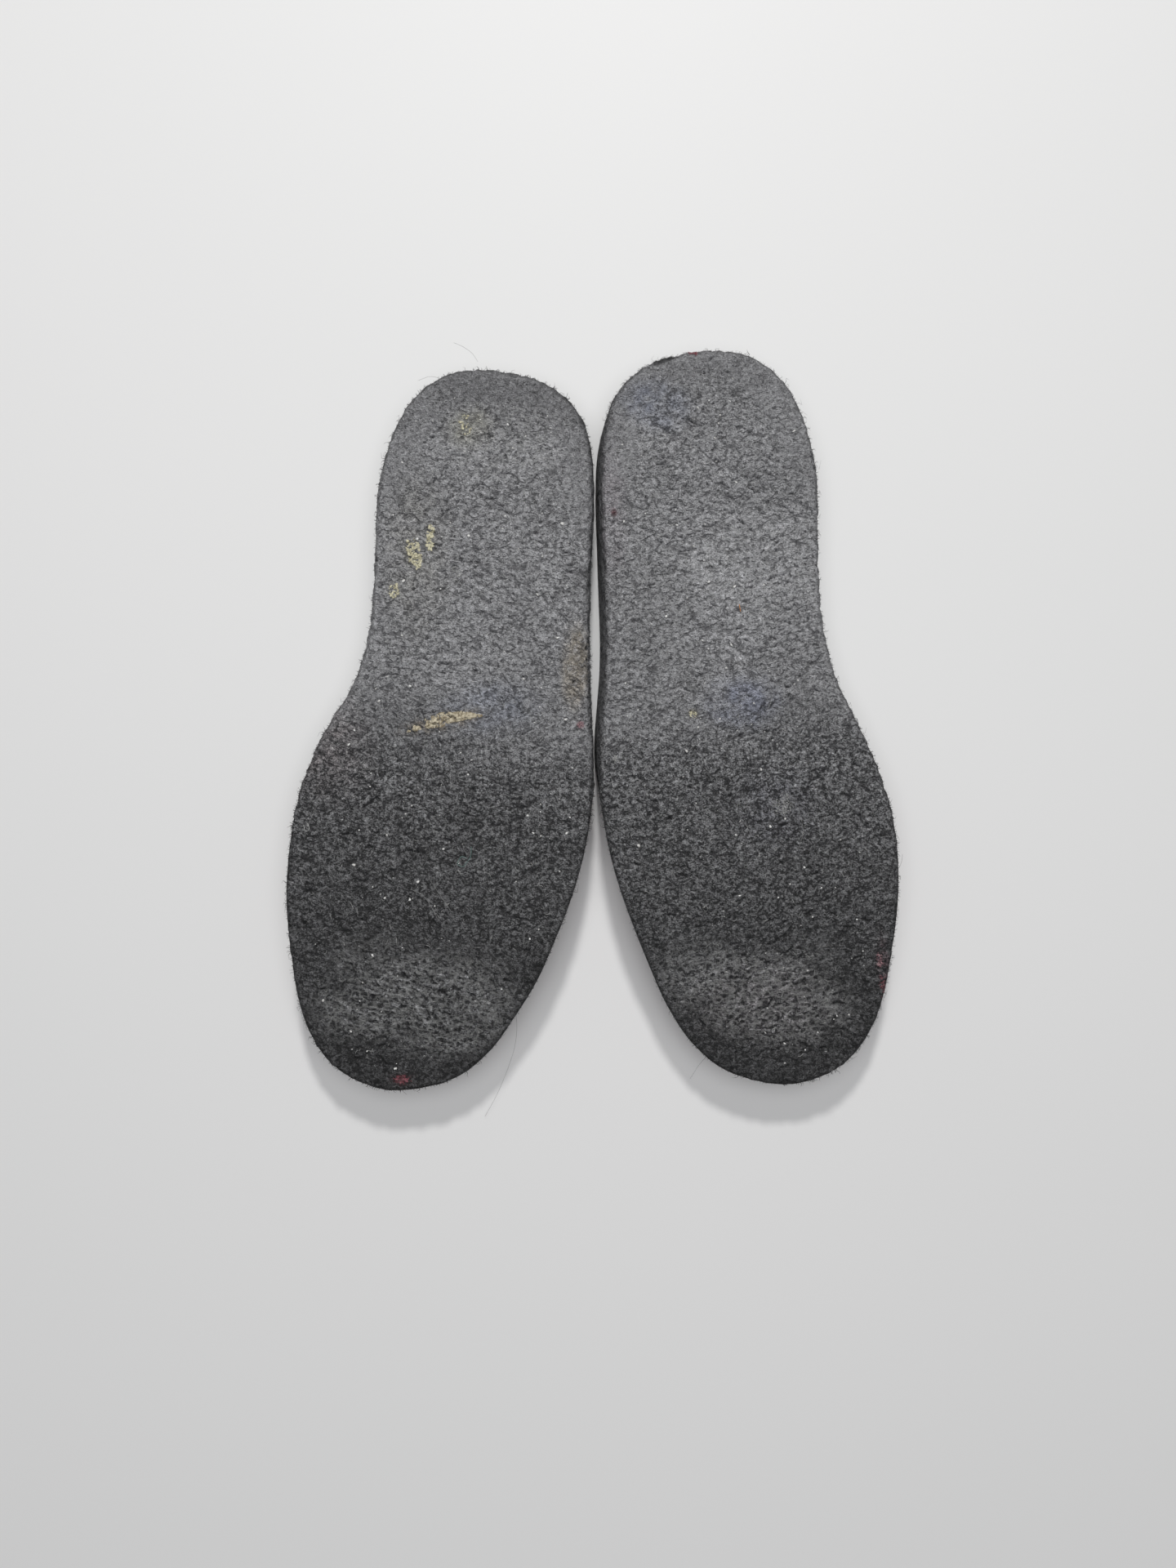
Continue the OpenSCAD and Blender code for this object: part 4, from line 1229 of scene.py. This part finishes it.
for f in (RIGHT, LEFT):
    foot = FOOT[f]
    maps = felt_maps(f)
    rgb = felt_colour(f, maps)
    X, Y = maps["X"], maps["Y"]
    fine = layered(maps["x"], maps["y"], 1.4, 171, 3)
    if f == RIGHT:
        # beige scuffed edge with two dark holes, and the tan scrape's stain
        scuff = blob(X, Y, -5.6, 18, 4.6, 13.5, -4, 0.35) * smooth(fine, -0.45, 0.25)
        repaint(rgb, 0.85 * scuff, (0.42, 0.385, 0.34))
        maps["height"] = maps["height"] - 0.35 * scuff
        for hx, hy in ((-1.2, 24.6), (-1.0, 20.6), (-3.4, 26.0), (-6.4, 13.0)):
            hole = blob(X, Y, hx, hy, 0.8, 0.6, 20, 0.5)
            repaint(rgb, 0.9 * hole, (0.012, 0.011, 0.010))
            maps["height"] = maps["height"] - 0.8 * hole
        stain = blob(X, Y, -51, -0.6, 14, 3.2, 12, 0.4) * smooth(fine, -0.3, 0.3)
        repaint(rgb, 0.55 * stain, (0.25, 0.20, 0.14))
        for sx, sy, rx, ry, k in ((-61.5, 57, 3.0, 6.5, 0.6), (-55.6, 62.5, 2.0, 5.0, 0.6), (-68.2, 44, 2.6, 3.0, 0.55),
                                  (-44, 101, 2.6, 4.5, 0.35), (-40, 106, 3.5, 2.5, 0.3)):
            spot = blob(X, Y, sx, sy, rx, ry, 10, 0.5) * smooth(fine, -0.1, 0.35)
            repaint(rgb, 0.35 * k * spot, (0.34, 0.31, 0.22))
        pink = blob(X, Y, -4.0, -1.8, 1.4, 1.2, 0, 0.5)
        repaint(rgb, 0.6 * pink, (0.42, 0.30, 0.33))
        red = blob(X, Y, -65.5, -124.5, 4, 2.2, 0, 0.6) * smooth(fine, -0.3, 0.4)
        repaint(rgb, 0.35 * red, (0.16, 0.045, 0.06))
    else:
        stain = blob(X, Y, 34.4, 1.8, 1.7, 1.7, 0, 0.5) * smooth(fine, -0.4, 0.2)
        repaint(rgb, 0.6 * stain, (0.34, 0.31, 0.22))
        white = blob(X, Y, 65, -29, 3.6, 3.8, 0, 0.5) * smooth(fine, -0.1, 0.4)
        repaint(rgb, 0.6 * white, (0.42, 0.41, 0.42))
        nick = blob(X, Y, 25.5, 124.5, 5.0, 1.6, 25, 0.4)
        repaint(rgb, 0.8 * nick, (0.03, 0.03, 0.032))
        maps["height"] = maps["height"] - 0.7 * nick
        red = blob(X, Y, 100, -83, 2.0, 9, 8, 0.6) * smooth(fine, -0.5, 0.3)
        repaint(rgb, 0.4 * red, (0.16, 0.06, 0.075))
        red = blob(X, Y, 7.4, 71.0, 1.0, 1.2, 0, 0.5)
        repaint(rgb, 0.8 * red, (0.12, 0.02, 0.03))

    # felt: an outer face with all its relief, a plain inner face, and a rim between them
    top = surface(f, 20, 0, 0, True, SUBS, 0.585, 5 + f)
    low = surface(f, 20, 1, -GLUE / 2, True, [2, 2, 1, 1, 2, 2], 3.6, 15 + f)
    v, faces, k = closed(f, top, low)
    normal = vertex_normals(v, faces)
    q, j, w = top["q"], top["j"], top["w"]
    h = sample(maps["height"], q[:, 0], q[:, 1])
    frayed = layered(q[:, 0] * 1.0, q[:, 1] * 1.0, 2.2, 181, 3)
    corner = window(j, 0.9, 1.8, 4.0, 5.0)
    h = h + 0.62 * frayed * corner
    tame = mix(0.2 + 0.8 * smooth(j, 0, 2.2), smooth(j, -0.1, 0.6), w)
    h = (h - 0.10) * tame
    v[:k] += normal[:k] * h[:, None]
    v[:k] = keep_apart(f, v[:k])
    v[:, 2] = np.maximum(v[:, 2], 0.02)
    felt = make_mesh(foot + "_felt", v, faces, FELT)
    z_rest = np.concatenate([np.zeros(k), np.full(len(v) - k, -3.0)])
    qq = np.concatenate([q, low["q"]])
    put_vector(felt, "rest", np.column_stack([qq + (0 if f == RIGHT else 371.0), z_rest]))
    put_colour(felt, "tint", [sample(c, qq[:, 0], qq[:, 1]) for c in rgb])
    inside = np.concatenate([np.ones(k), np.zeros(len(v) - k)])
    put_float(felt, "fleck", sample(maps["fleck"], qq[:, 0], qq[:, 1]) * inside)
    # slit: where the felt material paints shade into the slits
    put_float(felt, "slit", sample(maps["slit"], qq[:, 0], qq[:, 1]) * inside)
    put_float(felt, "ball", sample(maps["ball"], qq[:, 0], qq[:, 1]))
    put_float(felt, "calm", np.maximum(sample(maps["band"], qq[:, 0], qq[:, 1]), 1 - inside))
    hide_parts(foot + "_felt_rear", foot + "_felt_fore")
    ground = Ground(v, faces)

    # foam footbed with pockets for the pads and the arch support
    ft = surface(f, 10, 1, GLUE / 2, False, [4, 4, 2, 2, 3, 3], 1.7, 25 + f)
    fb = surface(f, 10, 2, -GLUE / 2, False, [4, 3, 2, 2, 3, 3], 1.7, 35 + f)
    arch_ring = hull_of(ARCH, 0.7)
    ft["v"][:, 2] -= (ARCH_T + POCKET) * smooth(ring_distance(arch_ring, ft["v"][:, :2]), -0.2, 0.35)
    for circles, deep in ((HEEL_PAD, HEEL_PAD_T), (MET_PAD, MET_PAD_T)):
        fb["v"][:, 2] += (deep + POCKET) * smooth(ring_distance(hull_of(circles, 0.7), fb["v"][:, :2]), -0.2, 0.35)
    v, faces, k = closed(f, ft, fb, strip=5)
    normal = vertex_normals(v, faces)
    flat_xy = unplaced(f, v[:, :2])
    rough = 0.05 * layered(flat_xy[:, 0] + v[:, 2] * 3.1, flat_xy[:, 1] + v[:, 2] * 2.3, 1.1, 191, 2)
    edge_rows = np.zeros(len(v))
    edge_rows[len(ft["v"]) + len(fb["v"]):] = 1
    v = v + normal * (rough * (0.3 + 1.6 * edge_rows))[:, None]
    v = keep_apart(f, v, 0.1)
    v[:, 2] = np.maximum(v[:, 2], 0.0)
    foam = make_mesh(foot + "_foam", v, faces, FOAM)
    put_vector(foam, "rest", np.column_stack([flat_xy, v[:, 2]]))
    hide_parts(foot + "_foam_rear", foot + "_foam_fore")

    # fleece cover with its pile on the foot's side
    ct = surface(f, 12, 2, GLUE / 2, True, [2, 2, 1, 2, 2, 2], 3.4, 45 + f)
    cb = surface(f, 12, 3, 0, True, [7, 5, 3, 3, 4, 4], 0.95, 55 + f)
    v, faces, k = closed(f, ct, cb, strip=3)
    normal = vertex_normals(v, faces)
    qb = cb["q"]
    p1, p2, pn = cells(qb[:, 0] + 0.8 * layered(qb[:, 0], qb[:, 1], 3, 201, 2), qb[:, 1], 1.9, 205)
    tuft = (1 - smooth(p1, 0.0, 0.75)) * (0.5 + 0.5 * pn)
    pile_h = 0.34 * tuft + 0.18 * layered(qb[:, 0], qb[:, 1], 5, 211, 3) - 0.30
    v[k:k + len(qb)] += normal[k:k + len(qb)] * (pile_h * smooth(cb["j"], -0.1, 0.8))[:, None]
    v[:, 2] = np.maximum(v[:, 2], 0.05)
    cover = make_mesh(foot + "_cover", v, faces, FLEECE)
    flat_xy = unplaced(f, v[:, :2])
    put_vector(cover, "rest", np.column_stack([flat_xy, v[:, 2]]))
    pile = np.full(len(v), 0.5)
    pile[k:k + len(qb)] = tuft
    put_float(cover, "pile", pile)
    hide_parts(foot + "_cover_rear", foot + "_cover_fore")

    # pads and arch support
    heel = pad(f, foot + "_heel_cushion", HEEL_PAD, HEEL_PAD_T, foot + "_rear", 0.16)
    met = pad(f, foot + "_metatarsal_cushion", MET_PAD, MET_PAD_T, foot + "_rear", 0.35)
    for o, cad in ((heel, "heel_pad"), (met, "metatarsal_pad")):
        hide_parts(foot + "_" + cad)
        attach(o, foot + "_rear")
    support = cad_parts[foot + "_arch_support"]
    support.data.materials.clear()
    support.data.materials.append(SHANK)

    # ---- fibres: loose on the face, frayed round the edge
    r = np.random.default_rng(300 + f)
    inner_q = top["q"][top["j"] > 5]
    pick = inner_q[r.integers(0, len(inner_q), 2600)] + r.uniform(-0.3, 0.3, (2600, 2))
    spots = placed(f, np.column_stack([pick, 0 * pick[:, 0]]))[:, :2]
    paths = laid_fibres(ground, spots, r.uniform(0.8, 3.2, len(spots)), r, 0.6, 0.10)
    taper = np.array([0.4, 1, 1, 0.9, 0.25])
    grey = tubes(foot + "_surface_fibres", paths, r.uniform(0.018, 0.034, (len(paths), 1)) * taper, GREY_FIBRE)
    pick = inner_q[r.integers(0, len(inner_q), 420)]
    spots = placed(f, np.column_stack([pick, 0 * pick[:, 0]]))[:, :2]
    paths = laid_fibres(ground, spots, r.uniform(0.6, 2.6, len(spots)) ** 1.2, r, 0.9, 0.14)
    lint = tubes(foot + "_white_lint", paths, r.uniform(0.028, 0.065, (len(paths), 1)) * taper, WHITE_FIBRE)

    n = top["n"]
    rows = top["rows"]
    which = r.integers(8, 17, 2600)
    where = r.integers(0, n, 2600)
    co = np.zeros(len(felt.data.vertices) * 3, np.float32)
    felt.data.vertices.foreach_get("co", co)
    co = co.reshape(-1, 3).astype(float) / MM
    base = co[which * n + where]
    inward = co[(which + 1) * n + where]
    d2 = top["pts"][:, 1] - top["pts"][:, 0]
    d2 /= np.linalg.norm(d2, axis=1)[:, None]
    outward_local = -np.stack([d2[:, 1], -d2[:, 0], 0 * d2[:, 0]], 1)
    a0 = placed(f, np.zeros((1, 3)))
    outward = (placed(f, outward_local) - a0)[where]
    outward[:, 2] = 0
    length = r.gamma(2.0, 0.24, len(base)).clip(0.12, 2.2)
    side_way = np.cross(outward, [0, 0, 1.0])
    paths = []
    for u in (-0.15, 0.35, 0.7, 1.0):
        paths.append(base + outward * (length * u)[:, None] + side_way * (length * u * u * r.normal(0, 0.55, len(base)))[:, None]
                     + np.array([0, 0, 1.0]) * (length * u * r.normal(0.05, 0.35, len(base)))[:, None])
    paths = np.stack(paths, 1)
    line = np.interp(paths[..., 1], MID_Y, MID_X)
    clear = (paths[..., 0] < line - 0.12).all(1) if f == RIGHT else (paths[..., 0] > line + 0.12).all(1)
    clear |= (paths[..., 1] > MID_Y[-1]).all(1)
    paths = paths[clear]
    paths[..., 2] = np.maximum(paths[..., 2], 0.1)
    fray = tubes(foot + "_edge_fray", paths, r.uniform(0.04, 0.11, (len(paths), 1)) * np.array([1.2, 1, 0.7, 0.25]), DARK_FIBRE)

    # ---- grains and specks stuck in the felt
    pick = inner_q[r.integers(0, len(inner_q), 330)]
    xy = placed(f, np.column_stack([pick, 0 * pick[:, 0]]))[:, :2]
    z = ground.height(xy[:, 0], xy[:, 1])
    ok = np.isfinite(z)
    size = r.gamma(2.0, 0.08, len(xy)).clip(0.06, 0.46)
    specks = crumbs(foot + "_white_specks", np.column_stack([xy, z + 0.3 * size])[ok], size[ok], 310 + f, WHITE_CRUST)
    extras = [grey, lint, fray, specks]

    def on_felt(points):
        p = np.array(points, float)
        zz = ground.height(p[:, 0], p[:, 1])
        good = np.isfinite(zz)
        return np.column_stack([p, zz])[good]

    def scattered(cx, cy, rx, ry, turn, count, power=0.5):
        a, d = r.uniform(0, 2 * np.pi, count), r.uniform(0, 1, count) ** power
        x, y = rx * d * np.cos(a), ry * d * np.sin(a)
        c, s_ = math.cos(math.radians(turn)), math.sin(math.radians(turn))
        return np.column_stack([cx + x * c - y * s_, cy + x * s_ + y * c])

    def tuft_of(name, cx, cy, rx, ry, turn, count, length, radius, material, lift=0.35):
        p = scattered(cx, cy, rx, ry, turn, count)
        path = laid_fibres(ground, p, r.uniform(0.5, 1.0, count) * length, r, 1.6, lift)
        return tubes(name, path, r.uniform(0.7, 1.1, (len(path), 1)) * radius * taper, material)

    if f == RIGHT:
        # tan crust: a slanting crescent, thick in its middle, ragged at its ends
        u = r.uniform(-1, 1, 900)
        bow = 1.6 * (1 - u * u)
        half = 2.1 * (1 - np.abs(u) ** 1.6) * np.where(u < 0, 1.15, 0.85)
        x = -50.6 + 12.6 * u
        y = -1.4 + 2.7 * u + bow + half * r.uniform(-1, 1, 900)
        broken = layered(x, y, 2.0, 221, 2)
        keep = broken > -0.42 + 0.4 * np.abs(u) ** 3
        p = on_felt(np.column_stack([x, y])[keep])
        extras.append(crumbs("right_tan_crust", p + [0, 0, 0.05], r.uniform(0.18, 0.52, len(p)), 320, TAN_CRUST, 0.35))
        p = np.concatenate([scattered(-61.2, 57, 2.4, 5.6, 12, 100), scattered(-55.6, 62.5, 1.5, 4.6, 0, 90),
                            scattered(-68.0, 44.2, 1.8, 2.6, 0, 34), scattered(-43.2, 101.5, 2.2, 4.0, 0, 20)])
        p = on_felt(p)
        extras.append(crumbs("right_yellow_crust", p + [0, 0, 0.06], r.uniform(0.20, 0.52, len(p)), 321, YELLOW_CRUST, 0.4))
        extras.append(tuft_of("right_beige_scuff", -5.2, 18, 3.6, 12.0, -4, 260, 1.8, 0.05,
                              fibre_material("scuff_beige", (0.22, 0.19, 0.15), (0.58, 0.52, 0.43)), 0.25))
        extras.append(tuft_of("right_toe_red_fluff", -66.2, -124.8, 2.6, 1.3, 0, 90, 2.0, 0.045, RED_FIBRE, 0.5))
        extras.append(tuft_of("right_pink_spot", -4.0, -1.8, 1.0, 0.9, 0, 40, 1.0, 0.06, PINK_FIBRE))
        extras.append(tuft_of("right_white_squiggle", -46.6, 49.6, 1.2, 2.8, 15, 30, 2.0, 0.07, WHITE_FIBRE))
        ringed = [(-44.4 + 1.5 * math.cos(a) * (1 + 0.25 * math.sin(2 * a)), -48.6 + 1.7 * math.sin(a))
                  for a in np.linspace(0.6, 5.6, 9)] + [(-41.6, -46.8), (-41.4, -43.6)]
        extras.append(tubes("right_green_thread", strand(ground, ringed, 0.12, 40)[None], np.full((1, 40), 0.075), GREEN_FIBRE, 5))
        extras.append(tubes("right_white_curl", strand(ground, [(-98.6, -36), (-98.0, -38.2), (-96.6, -37.4), (-97.6, -35.2)], 0.2)[None],
                            np.full((1, 24), 0.07), WHITE_FIBRE, 5))
        p = on_felt([(-68.6, -121.0), (-68.2, -120.9), (-17.5, 10.9), (-83.2, 33.0)])
        extras.append(crumbs("right_white_chips", p, np.array([0.5, 0.4, 0.3, 0.3])[:len(p)], 322, WHITE_CRUST, 0.4))
    else:
        extras.append(tuft_of("left_heel_red_fluff", 34.6, 126.8, 1.5, 1.3, 0, 90, 1.9, 0.05, RED_FIBRE, 0.6))
        extras.append(tuft_of("left_lint_cluster", 65.0, -29.5, 3.6, 3.4, 20, 110, 1.8, 0.055, WHITE_FIBRE))
        extras.append(tuft_of("left_pink_lint", 98.6, -82.5, 1.0, 2.6, 0, 50, 1.4, 0.05, PINK_FIBRE))
        extras.append(tuft_of("left_side_red_fluff", 100.2, -92.0, 0.8, 4.0, 8, 50, 1.5, 0.045, RED_FIBRE))
        extras.append(tuft_of("left_flap", 25.0, 125.3, 4.6, 1.2, 22, 150, 2.0, 0.06, DARK_FIBRE, 0.6))
        extras.append(tuft_of("left_white_spot", 7.8, -13.6, 0.9, 0.9, 0, 26, 1.1, 0.06, WHITE_FIBRE))
        p = on_felt(scattered(34.4, 1.8, 1.2, 1.3, 0, 26))
        extras.append(crumbs("left_yellow_crust", p, r.uniform(0.15, 0.42, len(p)), 331, YELLOW_CRUST, 0.4))
        extras.append(tubes("left_orange_thread", strand(ground, [(50.3, 39.4), (50.5, 38.2), (50.8, 37.0)], 0.2, 10)[None],
                            np.full((1, 10), 0.13), ORANGE_FIBRE, 5))
    pale = [strand(ground, pts_, 0.18) for pts_ in PALE_HAIRS[f]]
    extras.append(tubes(foot + "_pale_hairs", np.stack(pale), np.full((len(pale), 24), 0.030), WHITE_FIBRE, 4))
    dark = [strand(ground, pts_) for pts_ in HAIRS[f]]
    extras.append(tubes(foot + "_stray_hairs", np.stack(dark), np.full((len(dark), 24), 0.032), HAIR, 4))
    for o in extras:
        bend(o)
    for o in (felt, foam, cover):
        bend(o)
